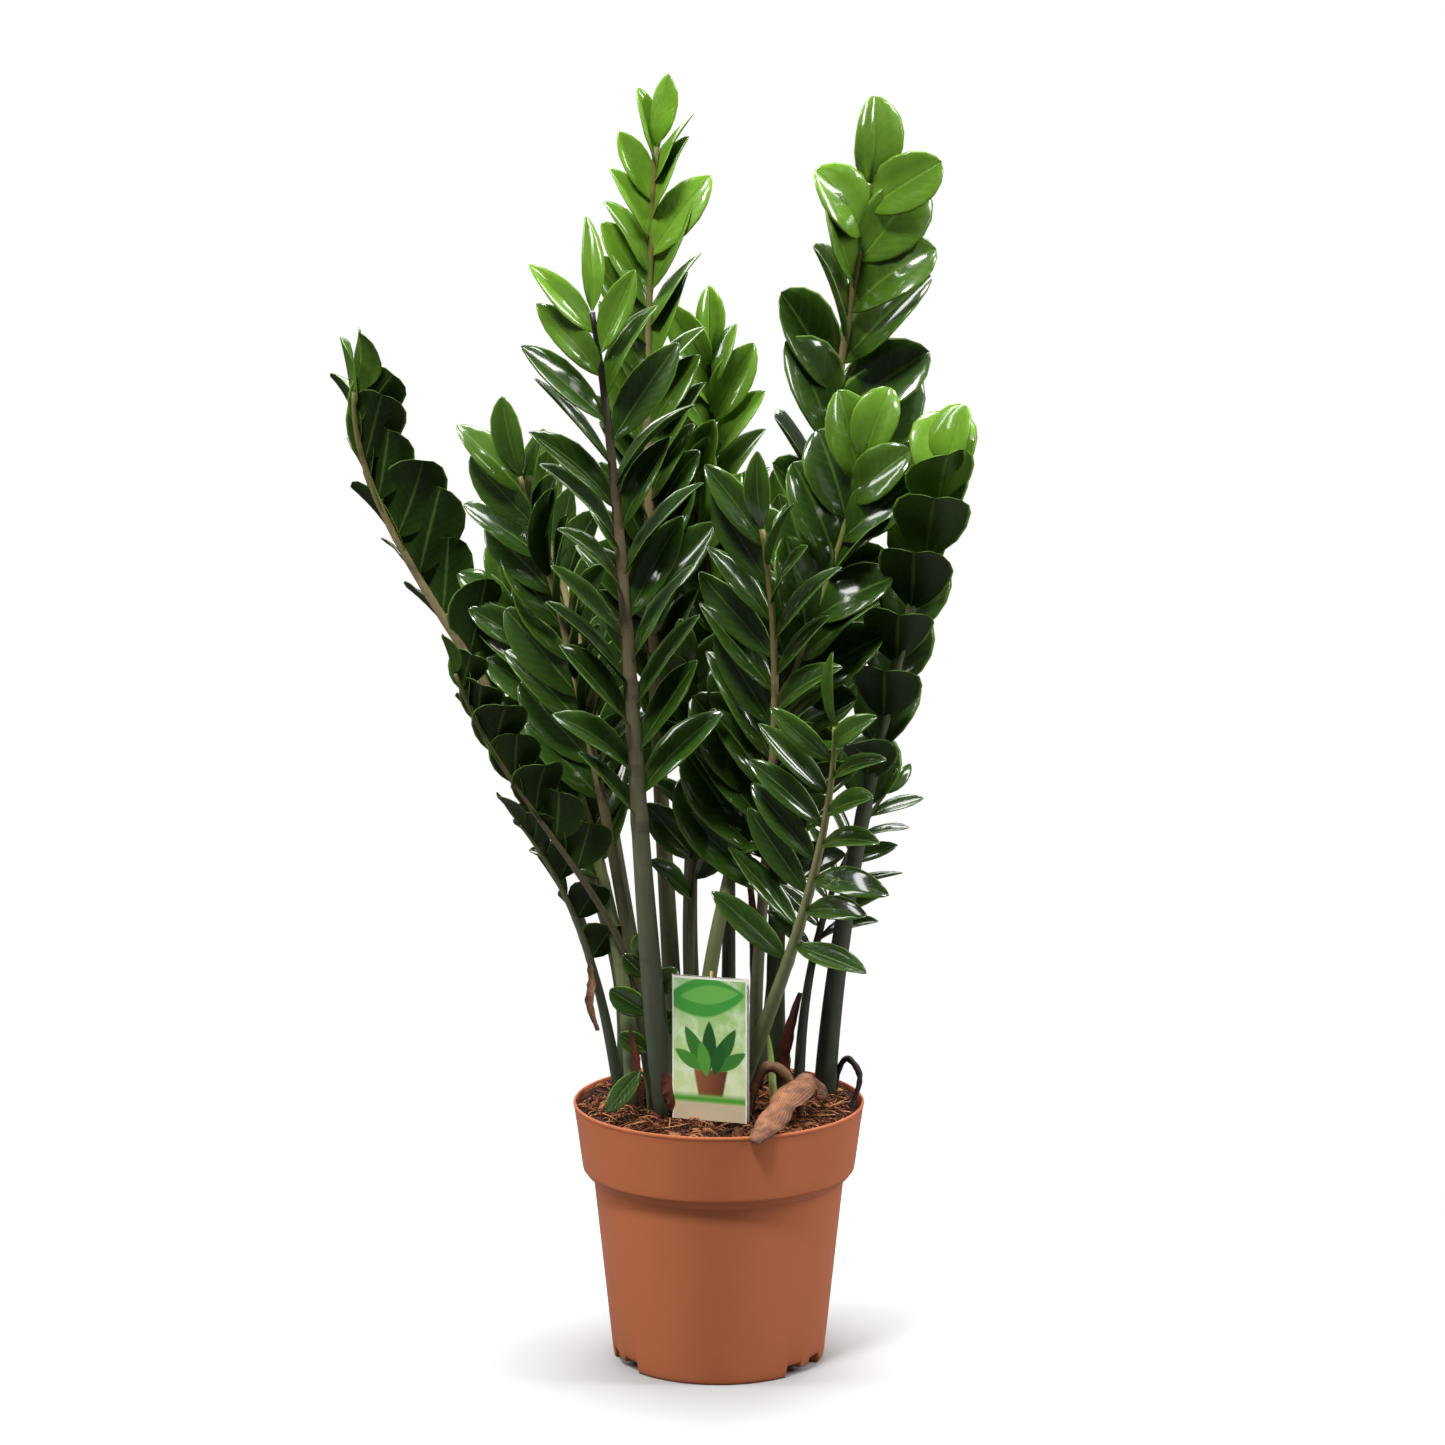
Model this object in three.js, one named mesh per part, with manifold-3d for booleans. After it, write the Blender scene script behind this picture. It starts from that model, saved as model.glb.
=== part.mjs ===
// Potted zz plant in a round plastic grower's pot.
// Millimetres, +Z up. The origin is the centre of the pot's underside, and the plant faces -Y.
import * as THREE from "three";
import { mergeVertices } from "three/addons/utils/BufferGeometryUtils.js";
import Module from "manifold-3d";

const wasm = await Module();
wasm.setup();

// ---------------------------------------------------------------- driving dimensions
const POT = {
  height: 245,          // lip above the surface that the pot stands on
  lipRadius: 135,       // outside, at the lip
  bandLowRadius: 126.5, // outside, at the low edge of the rim band
  bandLow: 180,         // height of that low edge
  stepHeight: 171,      // where the chamfer under the band meets the body
  stepRadius: 116.6,
  footRadius: 98.5,     // outside, at the very bottom
  wall: 2.2,
  floor: 3,
  footRound: 3,         // chamfer at the foot
  lipBead: 1.6,         // height of the bead round the lip
  lipSwell: 0.4,        // how far that bead stands out
  rounds: 36,           // sides of the round shapes
};
const FOOT_NOTCH = {
  count: 3,
  firstAngle: -35,      // degrees from +X, seen from above
  span: 31,             // degrees
  height: 10,
  roof: 2,              // plastic above the notch
  depth: 20,            // from the wall inwards
  jamb: 1.2,            // plastic beside the notch, degrees
  holeRadius: 5,
  holeInset: 8,         // of the drain hole from the notch's inner wall
};
// Soil: height at the wall, rise to the middle, rise per millimetre to the back, size of the lumps.
const SOIL = { edge: 238, mound: 6, tilt: 0.05, lump: 1.6 };
const CARD = { width: 72, height: 134, paper: 0.7, fold: 4.6, overhang: 0.8 };
const CARD_CORNER = new THREE.Vector3(-43, -61, 243.5);
const CARD_TURN = -17.5;  // degrees: the right edge stands nearer the front
const STICK = { radius: 1.5, low: 215, high: 383 };
const GAP = 0.35;         // clear space between neighbours
const BURIED = 34;        // how far a stalk runs on into the soil

// ---------------------------------------------------------------- fronds
// route: foot, lower third, upper third and tip of the stalk.
// foot, top: stalk radius at the two ends. leaves: number of leaflets; from: where they begin (0 to 1).
// blade: length and width of a full-grown leaflet. face: where the upper side looks, degrees from +X.
// lift: how far the two rows fold up, roll: how far the low blades turn towards the tip, in degrees.
// spread: angle between leaflet and stalk at the lowest leaflet and at the tip, in degrees.
const FRONDS = [
  { route: [[-90, 60, 255], [-145, 65, 500], [-270, 50, 715], [-330, 5, 903]],
    foot: 7.5, top: 2.2, leaves: 19, from: 0.44, blade: [84, 58],
    face: 45, lift: 36, roll: 0, spread: [46, 34] },
  { route: [[-65, 20, 265], [-95, -10, 405], [-170, -50, 530], [-235, -90, 660]],
    foot: 4.5, top: 1.8, leaves: 14, from: 0.5, blade: [56, 50],
    face: 40, lift: 38, roll: 0, spread: [46, 36] },
  { route: [[-95, 30, 255], [-112, 20, 345], [-138, 0, 430], [-180, -38, 512]],
    foot: 6, top: 2, leaves: 8, from: 0.45, blade: [50, 43],
    face: 45, lift: 35, roll: 0, spread: [46, 36] },
  { route: [[-65, 15, 275], [-95, 0, 463], [-131, -20, 650], [-178, -45, 832]],
    foot: 7, top: 2.4, leaves: 20, from: 0.45, blade: [104, 42],
    face: -125, lift: 15, roll: 42, spread: [34, 32] },
  { route: [[-50, -45, 260], [-70, -75, 505], [-85, -105, 750], [-110, -130, 985]],
    foot: 11.5, top: 2.4, leaves: 24, from: 0.36, blade: [110, 38],
    face: -78, lift: 14, roll: 54, spread: [36, 38] },
  { route: [[-40, 60, 255], [-55, 60, 545], [-65, 60, 830], [-57, 50, 1122]],
    foot: 9, top: 2.4, leaves: 32, from: 0.42, blade: [98, 42],
    face: -90, lift: 15, roll: 46, spread: [34, 24] },
  { route: [[-20, 90, 260], [-25, 120, 480], [-10, 140, 705], [-10, 150, 925]],
    foot: 8, top: 2.4, leaves: 24, from: 0.42, blade: [92, 42],
    face: -85, lift: 15, roll: 38, spread: [38, 28] },
  { route: [[10, 70, 260], [10, 90, 465], [0, 95, 670], [-50, 80, 855]],
    foot: 7.5, top: 2.4, leaves: 22, from: 0.45, blade: [90, 40],
    face: -100, lift: 15, roll: 32, spread: [38, 26] },
  { route: [[-25, 15, 270], [-25, 5, 400], [-20, -5, 530], [-25, -20, 655]],
    foot: 4.5, top: 1.8, leaves: 13, from: 0.42, blade: [70, 32],
    face: -80, lift: 15, roll: 25, spread: [44, 26] },
  { route: [[35, 20, 265], [40, -30, 435], [50, -80, 610], [38, -130, 795]],
    foot: 7, top: 2.6, leaves: 22, from: 0.36, blade: [110, 36],
    face: -120, lift: 12, roll: 52, spread: [48, 34] },
  { route: [[20, -25, 265], [60, -75, 385], [90, -120, 505], [102, -170, 625]],
    foot: 8, top: 2.2, leaves: 15, from: 0.36, blade: [94, 27],
    face: -125, lift: 18, roll: 48, spread: [66, 42] },
  { route: [[100, 30, 255], [126, 0, 477], [165, -60, 683], [201, -110, 843]],
    foot: 10, top: 2.4, leaves: 14, from: 0.4, blade: [88, 70],
    face: 170, lift: 10, roll: 75, spread: [34, 30] },
  { route: [[55, 50, 255], [62, 45, 540], [95, 30, 820], [136, -5, 1090]],
    foot: 9, top: 2.6, leaves: 21, from: 0.42, blade: [114, 72],
    face: -70, lift: 20, roll: 36, spread: [44, 38] },
  { route: [[-15, -20, 265], [10, -35, 463], [70, -45, 656], [129, -55, 846]],
    foot: 8, top: 2.4, leaves: 22, from: 0.34, blade: [104, 62],
    face: -110, lift: 20, roll: 28, spread: [46, 30] },
  { route: [[-80, -10, 270], [-100, 10, 420], [-140, 30, 565], [-195, 60, 705]],
    foot: 8.5, top: 2.4, leaves: 18, from: 0.4, blade: [84, 42],
    face: -85, lift: 15, roll: 34, spread: [44, 28] },
  { route: [[75, 0, 270], [85, 20, 360], [110, 40, 445], [155, 70, 520]],
    foot: 5.5, top: 1.8, leaves: 14, from: 0.4, blade: [62, 20],
    face: -90, lift: 12, roll: 44, spread: [58, 36] },
  { route: [[-62, -20, 255], [-64, -25, 300], [-65, -30, 345], [-70, -38, 385]],
    foot: 3, top: 1.5, leaves: 6, from: 0.3, blade: [40, 24],
    face: -90, lift: 10, roll: 10, spread: [55, 35] },
  { route: [[-60, 90, 255], [-95, 125, 440], [-130, 165, 630], [-180, 200, 785]],
    foot: 8, top: 2.4, leaves: 22, from: 0.4, blade: [90, 42],
    face: 85, lift: 15, roll: 30, spread: [42, 26] },
  { route: [[45, 95, 255], [60, 140, 430], [70, 185, 610], [85, 225, 770]],
    foot: 8, top: 2.4, leaves: 22, from: 0.38, blade: [90, 42],
    face: 95, lift: 15, roll: 30, spread: [42, 26] },
];
const LEAF_THICK = 2;
const LEAF_WIDEST = 0.42;   // where along its length a leaflet is widest
const LEAF_FOLD = 0.24;     // rise of its edges, as a share of the half width
const END_ANGLE = 6;        // degrees between the stalk's tip and the last leaflet
// The most that one leaflet differs from the rule: three angles in degrees, and a share of its size.
const VARIETY = { angle: 8, lift: 15, roll: 20, size: 0.1 };

// ---------------------------------------------------------------- solids
/** A closed three.js geometry as a solid that can be joined and cut. */
function solidOf(geometry) {
  const plain = geometry.clone();
  plain.deleteAttribute("normal");
  plain.deleteAttribute("uv");
  const merged = mergeVertices(plain, 1e-4);
  return new wasm.Manifold(new wasm.Mesh({
    numProp: 3,
    vertProperties: new Float32Array(merged.attributes.position.array),
    triVerts: new Uint32Array(merged.index.array),
  }));
}

/** The triangles of a solid as a three.js geometry. */
function geometryOf(solid) {
  const mesh = solid.getMesh();
  const geometry = new THREE.BufferGeometry();
  geometry.setAttribute("position", new THREE.BufferAttribute(new Float32Array(mesh.vertProperties), 3));
  geometry.setIndex(new THREE.BufferAttribute(new Uint32Array(mesh.triVerts), 1));
  geometry.computeVertexNormals();
  return geometry;
}

/** The biggest of a solid's separate bodies, without the crumbs that a cut leaves. */
function biggest(solid) {
  return solid.decompose().reduce((a, b) => (b.volume() > a.volume() ? b : a));
}

/** A geometry from its corner points and its triangles. */
function geometryFrom(points, triangles) {
  const geometry = new THREE.BufferGeometry();
  const numbers = points.flatMap((p) => [p.x, p.y, p.z]);
  geometry.setAttribute("position", new THREE.Float32BufferAttribute(numbers, 3));
  geometry.setIndex(triangles.flat());
  return geometry;
}

/** Rings of points, counter-clockwise about the way they advance, skinned and closed by two fans. */
function loft(rings) {
  const count = rings[0].length;
  const points = rings.flat();
  const middle = (ring) => ring.reduce((a, p) => a.add(p), new THREE.Vector3()).divideScalar(count);
  const low = points.push(middle(rings[0])) - 1;
  const high = points.push(middle(rings.at(-1))) - 1;
  const triangles = [];
  rings.slice(1).forEach((_, i) => {
    for (let k = 0; k < count; k += 1) {
      const next = (k + 1) % count;
      const [a, b, c, d] = [i * count + k, i * count + next, (i + 1) * count + next, (i + 1) * count + k];
      triangles.push([a, b, c], [a, c, d]);
    }
  });
  const last = (rings.length - 1) * count;
  for (let k = 0; k < count; k += 1) {
    const next = (k + 1) % count;
    triangles.push([low, next, k], [high, last + k, last + next]);
  }
  return geometryFrom(points, triangles);
}

/** A round rod along a list of points, with its own radius at each, and longer by extra at both ends. */
function rod(path, radii, sides, extra = 0) {
  const rings = path.map((centre, i) => {
    const along = path[Math.min(i + 1, path.length - 1)].clone().sub(path[Math.max(i - 1, 0)]).normalize();
    const helper = Math.abs(along.y) < 0.9 ? new THREE.Vector3(0, 1, 0) : new THREE.Vector3(1, 0, 0);
    const across = helper.clone().cross(along).normalize();
    const third = along.clone().cross(across);
    const end = i === 0 ? -extra : (i === path.length - 1) * extra;
    return Array.from({ length: sides }, (_, k) => {
      const turn = (2 * Math.PI * k) / sides;
      return centre.clone().addScaledVector(along, end)
        .addScaledVector(across, radii[i] * Math.cos(turn))
        .addScaledVector(third, radii[i] * Math.sin(turn));
    });
  });
  return loft(rings);
}

const vector = ([x, y, z]) => new THREE.Vector3(x, y, z);
const radians = THREE.MathUtils.degToRad;

/** A repeatable number from -1 to 1 for one leaflet of one frond. */
function wobble(frond, leaf, salt) {
  const wave = Math.sin(frond * 78.233 + leaf * 12.9898 + salt * 37.719) * 43758.5453;
  return 2 * (wave - Math.floor(wave)) - 1;
}

// ---------------------------------------------------------------- pot
/** A flat sector of a ring, between two radii and two angles in degrees. */
function ringSector(inner, outer, from, to) {
  const shape = new THREE.Shape();
  shape.absarc(0, 0, outer, radians(from), radians(to), false);
  shape.absarc(0, 0, inner, radians(to), radians(from), true);
  shape.closePath();
  return shape;
}

/** A slab over one foot notch: the sector of a ring between two heights. */
function notchSlab(index, inner, outer, low, high, widen) {
  const centre = FOOT_NOTCH.firstAngle + (360 * index) / FOOT_NOTCH.count;
  const half = FOOT_NOTCH.span / 2 + widen;
  const shape = ringSector(inner, outer, centre - half, centre + half);
  const options = { depth: high - low, bevelEnabled: false, curveSegments: 3 };
  return solidOf(new THREE.ExtrudeGeometry(shape, options).translate(0, 0, low));
}

/** Inside radius of the pot at a height. */
function potInside(z) {
  const { stepHeight, stepRadius, footRadius, bandLow, bandLowRadius, height, lipRadius, wall } = POT;
  if (z <= stepHeight) return footRadius + ((stepRadius - footRadius) * z) / stepHeight - wall;
  if (z <= bandLow) {
    return stepRadius + ((bandLowRadius - stepRadius) * (z - stepHeight)) / (bandLow - stepHeight) - wall;
  }
  return bandLowRadius + ((lipRadius - bandLowRadius) * (z - bandLow)) / (height - bandLow) - wall;
}

const notches = [...Array(FOOT_NOTCH.count).keys()];
const notchInner = POT.footRadius - FOOT_NOTCH.depth;

/** The pot: a turned shell on feet between raised notches, with a drain hole through each notch's roof. */
function buildPot() {
  const { footRadius, footRound, stepRadius, stepHeight, bandLow, bandLowRadius, wall, floor } = POT;
  const { lipRadius, lipBead, lipSwell, height } = POT;
  const outside = [
    [0, 0], [footRadius - footRound, 0], [footRadius, footRound],
    [stepRadius, stepHeight], [bandLowRadius - footRound, bandLow - 2 * footRound],
    [bandLowRadius, bandLow],
    [lipRadius - lipSwell, height - 2.5 * lipBead], [lipRadius + lipSwell, height - lipBead],
    [lipRadius - 2 * lipSwell, height], [lipRadius - wall, height - lipSwell],
  ];
  const inside = [height - 3 * lipBead, bandLow, stepHeight, floor].map((z) => [potInside(z), z]);
  const profile = [...outside, ...inside, [0, floor]].map(([r, z]) => new THREE.Vector2(r, z));
  const shell = new THREE.LatheGeometry(profile, POT.rounds).rotateX(Math.PI / 2);
  const beyond = 2;
  const { firstAngle, count, height: notchHeight, roof, jamb, holeRadius, holeInset } = FOOT_NOTCH;
  let pot = solidOf(shell);
  notches.forEach((i) => {
    pot = pot.add(notchSlab(i, notchInner - beyond, potInside(0) + 1, 1, notchHeight + roof, jamb));
    pot = pot.subtract(notchSlab(i, notchInner, footRadius + beyond, -beyond, notchHeight, 0));
    const angle = radians(firstAngle + (360 * i) / count);
    const reach = notchInner + holeInset;
    const drain = new THREE.CylinderGeometry(holeRadius, holeRadius, 4 * roof, 8)
      .rotateX(Math.PI / 2)
      .translate(reach * Math.cos(angle), reach * Math.sin(angle), notchHeight + roof / 2);
    pot = pot.subtract(solidOf(drain));
  });
  return pot;
}

// ---------------------------------------------------------------- plant
/** Point of a stalk at t from 0 to 1: the cubic curve through the route's four points at thirds. */
function stalkPoint(route, t) {
  const [foot, low, high, tip] = route.map(vector);
  const first = foot.clone().multiplyScalar(-5).addScaledVector(low, 18).addScaledVector(high, -9)
    .addScaledVector(tip, 2).divideScalar(6);
  const second = foot.clone().multiplyScalar(2).addScaledVector(low, -9).addScaledVector(high, 18)
    .addScaledVector(tip, -5).divideScalar(6);
  return new THREE.CubicBezierCurve3(foot, first, second, tip).getPoint(t);
}

/** Direction of a stalk at t. */
function stalkTangent(route, t) {
  const step = 0.01;
  return stalkPoint(route, Math.min(t + step, 1)).sub(stalkPoint(route, Math.max(t - step, 0))).normalize();
}

/** Radius of a stalk at t: it thins a little faster near its foot. */
const stalkRadius = (frond, t) => frond.top + (frond.foot - frond.top) * (1 - t) ** 1.2;

/** The stalk, five-sided, with its foot running on down into the soil. */
function stalkGeometry(frond, grow) {
  const steps = 8;
  const ts = Array.from({ length: steps + 1 }, (_, i) => i / steps);
  const root = stalkPoint(frond.route, 0).addScaledVector(stalkTangent(frond.route, 0), -BURIED);
  const path = [root, ...ts.map((t) => stalkPoint(frond.route, t))];
  const radii = [frond.foot * 0.9, ...ts.map((t) => stalkRadius(frond, t))].map((r) => r + grow);
  return rod(path, radii, 5, grow);
}

/** Where leaflet i of a frond starts, its axes and its size. */
function leafletFrame(frond, number, i) {
  const last = frond.leaves - 1;
  const share = i / last;
  const t = frond.from + (1 - frond.from) * share;
  const along = stalkTangent(frond.route, t);
  const look = new THREE.Vector3(Math.cos(radians(frond.face)), Math.sin(radians(frond.face)), 0);
  const upper = look.addScaledVector(along, -look.dot(along)).normalize();
  const across = along.clone().cross(upper).multiplyScalar(i % 2 ? 1 : -1);
  const ending = i === last;
  const usual = frond.spread[0] + (frond.spread[1] - frond.spread[0]) * share;
  const angle = radians(ending ? END_ANGLE : usual + VARIETY.angle * wobble(number, i, 1));
  const lift = radians(frond.lift + VARIETY.lift * wobble(number, i, 2));
  const settle = 0.8 * Math.cos(radians(frond.roll)) * share ** 4;
  const roll = radians(frond.roll * (1 - settle) + VARIETY.roll * wobble(number, i, 3));
  const axis = along.clone().multiplyScalar(Math.cos(angle))
    .addScaledVector(across, Math.sin(angle) * Math.cos(lift))
    .addScaledVector(upper, Math.sin(angle) * Math.sin(lift));
  const ahead = ending ? across.clone() : along.clone();
  const flat = ahead.addScaledVector(axis, -ahead.dot(axis)).normalize();
  const normal = axis.clone().cross(flat);
  if (normal.dot(upper) < 0) normal.negate();
  const wide = flat.clone().multiplyScalar(Math.cos(roll)).addScaledVector(normal, -Math.sin(roll));
  const top = normal.multiplyScalar(Math.cos(roll)).addScaledVector(flat, Math.sin(roll));
  const size = (1 - 0.15 * (2 * share - 0.7) ** 2) * (1 + VARIETY.size * wobble(number, i, 4));
  const [length, width] = frond.blade.map((side) => side * size);
  return { base: stalkPoint(frond.route, t), axis, wide, top, length, width };
}

/** One leaflet: a thin kite, its two halves folded up a little. */
function leafletGeometry({ base, axis, wide, top, length, width }, grow) {
  const widest = LEAF_WIDEST * length;
  const half = 0.5 * width;
  const fold = LEAF_FOLD * (half + grow);
  const place = (u, v, n) => base.clone().addScaledVector(axis, u).addScaledVector(wide, v)
    .addScaledVector(top, n);
  const thick = LEAF_THICK / 2 + grow;
  const rim = [place(-grow, 0, 0), place(widest, -half - grow, fold), place(length + 2 * grow, 0, 0),
    place(widest, half + grow, fold)];
  const points = [...rim, place(widest, 0, thick), place(widest, 0, -thick)];
  const [upperMiddle, lowerMiddle] = [rim.length, rim.length + 1];
  const mirrored = axis.clone().cross(wide).dot(top) < 0;
  const triangles = rim.flatMap((_, k) => {
    const next = (k + 1) % rim.length;
    return [[upperMiddle, k, next], [lowerMiddle, next, k]];
  });
  return geometryFrom(points, mirrored ? triangles.map(([a, b, c]) => [a, c, b]) : triangles);
}

/** A whole frond, which grew as one piece: its stalk and all its leaflets joined. */
function frondSolid(frond, number, grow) {
  const leaflets = [...Array(frond.leaves).keys()].map((i) => (
    solidOf(leafletGeometry(leafletFrame(frond, number, i), grow))));
  return wasm.Manifold.union([solidOf(stalkGeometry(frond, grow)), ...leaflets]);
}

// ---------------------------------------------------------------- dried and small pieces
/** A smooth rod through a few points, pointed at both ends. */
function witheredRod(points, radius, sides, steps, grow) {
  const curve = new THREE.CatmullRomCurve3(points.map(vector));
  const path = curve.getPoints(steps);
  const swelling = (i) => Math.sin((Math.PI * (i + 0.5)) / (steps + 1));
  const radii = path.map((_, i) => radius * (0.55 + 0.45 * swelling(i)) + grow);
  return rod(path, radii, sides, grow);
}

/** A thin curled strip: a shallow gutter section, carried along a smooth line and narrowing to its ends. */
function curledStrip({ line, width, curl, thick, up, begin = 0.06 }, grow) {
  const steps = 7;
  const across = 3;
  const curve = new THREE.CatmullRomCurve3(line.map(vector));
  const rings = Array.from({ length: steps + 1 }, (_, i) => {
    const share = i / steps;
    const centre = curve.getPoint(share);
    const along = curve.getTangent(share);
    const lifted = vector(up).addScaledVector(along, -vector(up).dot(along)).normalize();
    const side = lifted.clone().cross(along);
    const wave = Math.sin(Math.PI * (begin + (0.96 - begin) * share)) ** 0.8;
    const half = 0.5 * width * (0.12 + 0.88 * wave);
    const end = i === 0 ? -grow : (i === steps) * grow;
    const row = (offset, order) => order.map((k) => {
      const v = (2 * k) / (across - 1) - 1;
      return centre.clone().addScaledVector(along, end).addScaledVector(side, (half + grow) * v)
        .addScaledVector(lifted, curl * half * v * v + offset);
    });
    const order = [...Array(across).keys()];
    return [...row(-thick / 2 - grow, order), ...row(thick / 2 + grow, order.reverse())];
  });
  return loft(rings);
}

const DRIED_LEAF = {
  line: [[98, -42, 268], [80, -60, 279], [60, -90, 270], [46, -116, 256], [37, -131, 249.2],
    [31, -140, 243]],
  width: 30,
  curl: -0.4,
  thick: 1.2,
  up: [-0.3, -0.8, 1],
  begin: 0.3,
};
const SHEATHS = {
  sheath_front: { line: [[-33, -58, 236], [-36, -61, 256], [-42, -60, 272], [-52, -58, 286]],
    width: 20, curl: -0.5, thick: 1, up: [0.4, -1, 0] },
  sheath_right: { line: [[68, 8, 238], [62, 10, 275], [66, 12, 305], [76, 14, 343]],
    width: 12, curl: -0.5, thick: 1, up: [0.3, -1, 0] },
  sheath_middle: { line: [[36, 46, 240], [34, 44, 320], [33, 42, 400], [27, 40, 462]],
    width: 9, curl: -0.4, thick: 1, up: [0.2, -1, 0] },
  sheath_left: { line: [[-112, 2, 310], [-119, 4, 335], [-117, 6, 355], [-120, 8, 375]],
    width: 9, curl: 0.4, thick: 1, up: [-0.6, -1, 0] },
  sheath_inner: { line: [[-70, -26, 240], [-75, -32, 270], [-77, -34, 295], [-82, -34, 322]],
    width: 8, curl: -0.4, thick: 1, up: [-0.2, -1, 0] },
};
const WITHERED = {
  dead_stalk_arch: {
    points: [[28, -44, 228], [31, -44, 262], [42, -46, 286], [58, -48, 284], [72, -50, 262],
      [76, -50, 228]],
    radius: 4.6,
    sides: 7,
    steps: 12,
  },
  dead_stalk_loop: {
    points: [[109, 40, 230], [112, 36, 262], [120, 26, 277], [130, 8, 270], [130, -6, 258],
      [118, -14, 232]],
    radius: 2.6,
    sides: 6,
    steps: 12,
  },
};
const SHOOT = {
  points: [[52, -6, 232], [50, -6, 262], [48, -6, 290], [44, -6, 318]],
  radius: 3.2,
  sides: 7,
  steps: 6,
};
const LOW_LEAF = {
  base: vector([-72, -50, 285]),
  axis: vector([-0.56, -0.62, -0.55]).normalize(),
  towards: vector([0.2, -0.7, 0.7]),
  length: 54,
  width: 20,
  stem: { points: [[-64, -38, 228], [-65, -42, 258], [-68, -46, 279], [-77, -55, 280]], radius: 1.8 },
};

/** The young leaflet that droops over the soil, on its own short stem. */
function lowLeafSolid(grow) {
  const axis = LOW_LEAF.axis.clone();
  const wide = axis.clone().cross(LOW_LEAF.towards).normalize();
  const top = wide.clone().cross(axis).normalize();
  const blade = solidOf(leafletGeometry({ ...LOW_LEAF, axis, wide, top }, grow));
  const { points, radius } = LOW_LEAF.stem;
  return blade.add(solidOf(witheredRod(points, radius, 6, 6, grow)));
}

// ---------------------------------------------------------------- label
/** The plant card: one strip of card folded at its left edge, open at the right. */
function cardGeometry() {
  const { width, height, paper, fold, overhang } = CARD;
  const outline = [[0, 0], [width, 0], [width, paper], [paper, paper], [paper, fold - paper],
    [width + overhang, fold - paper], [width + overhang, fold], [0, fold]];
  const shape = new THREE.Shape(outline.map(([x, y]) => new THREE.Vector2(x, y)));
  return new THREE.ExtrudeGeometry(shape, { depth: height, bevelEnabled: false });
}

/** The bamboo stick that stands between the card's two leaves. */
function stickGeometry(grow) {
  const length = STICK.high - STICK.low;
  const middle = new THREE.Vector3(CARD.width * 0.52, CARD.fold / 2, 0)
    .applyAxisAngle(new THREE.Vector3(0, 0, 1), radians(CARD_TURN))
    .add(new THREE.Vector3(CARD_CORNER.x, CARD_CORNER.y, STICK.low + length / 2));
  return new THREE.CylinderGeometry(STICK.radius + grow, STICK.radius + grow, length, 10)
    .rotateX(Math.PI / 2)
    .translate(middle.x, middle.y, middle.z);
}

// ---------------------------------------------------------------- soil
/** Height of the soil: a low mound, tilted up to the back, with small lumps. */
function soilTop(x, y) {
  const r = Math.hypot(x, y) / POT.lipRadius;
  const lumps = Math.sin(0.11 * x + 1.3) * Math.cos(0.13 * y) + 0.6 * Math.sin(0.21 * x - 0.17 * y);
  return SOIL.edge + SOIL.mound * (1 - r * r) + SOIL.tilt * y + SOIL.lump * lumps;
}

/** The body of the soil: it fills the pot to its mound, clear of the notches' roofs. */
function soilSolid() {
  const ring = (radius, height) => Array.from({ length: POT.rounds }, (_, k) => {
    const angle = (2 * Math.PI * k) / POT.rounds;
    const [x, y] = [radius * Math.cos(angle), radius * Math.sin(angle)];
    return new THREE.Vector3(x, y, height === null ? soilTop(x, y) : height);
  });
  const wallHeights = [POT.floor + GAP, POT.stepHeight, POT.bandLow];
  const walls = wallHeights.map((z) => ring(potInside(z) - 2 * GAP, z));
  const edgeLow = SOIL.edge - SOIL.tilt * POT.lipRadius;
  const tops = [potInside(edgeLow) - 2 * GAP, 100, 64, 28].map((r) => ring(r, null));
  let soil = solidOf(loft([...walls, ...tops]));
  notches.forEach((i) => {
    const roof = FOOT_NOTCH.height + FOOT_NOTCH.roof + GAP;
    soil = soil.subtract(notchSlab(i, notchInner - 3, POT.footRadius + 4, 0, roof, 2));
  });
  return soil;
}

// ---------------------------------------------------------------- the finished group
const COLOURS = {
  terracotta: new THREE.MeshStandardMaterial({ color: 0xa5654a, roughness: 0.55, metalness: 0 }),
  soil: new THREE.MeshStandardMaterial({ color: 0x3a241a, roughness: 1, metalness: 0 }),
  leaf: new THREE.MeshStandardMaterial({ color: 0x1f5a24, roughness: 0.28, metalness: 0 }),
  shoot: new THREE.MeshStandardMaterial({ color: 0x9ab860, roughness: 0.5, metalness: 0 }),
  dried: new THREE.MeshStandardMaterial({ color: 0x7d4a34, roughness: 0.85, metalness: 0 }),
  card: new THREE.MeshStandardMaterial({ color: 0xdfe6cc, roughness: 0.4, metalness: 0 }),
  bamboo: new THREE.MeshStandardMaterial({ color: 0xcfa565, roughness: 0.6, metalness: 0 }),
};

const plant = new THREE.Group();
plant.name = "potted_zz_plant";

function place(name, geometry, material) {
  const mesh = new THREE.Mesh(geometry, material);
  mesh.name = name;
  plant.add(mesh);
  return mesh;
}

const bentRod = ({ points, radius, sides, steps }, grow) => (
  solidOf(witheredRod(points, radius, sides, steps, grow)));
const twoDigits = (number) => String(number).padStart(2, "0");

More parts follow.
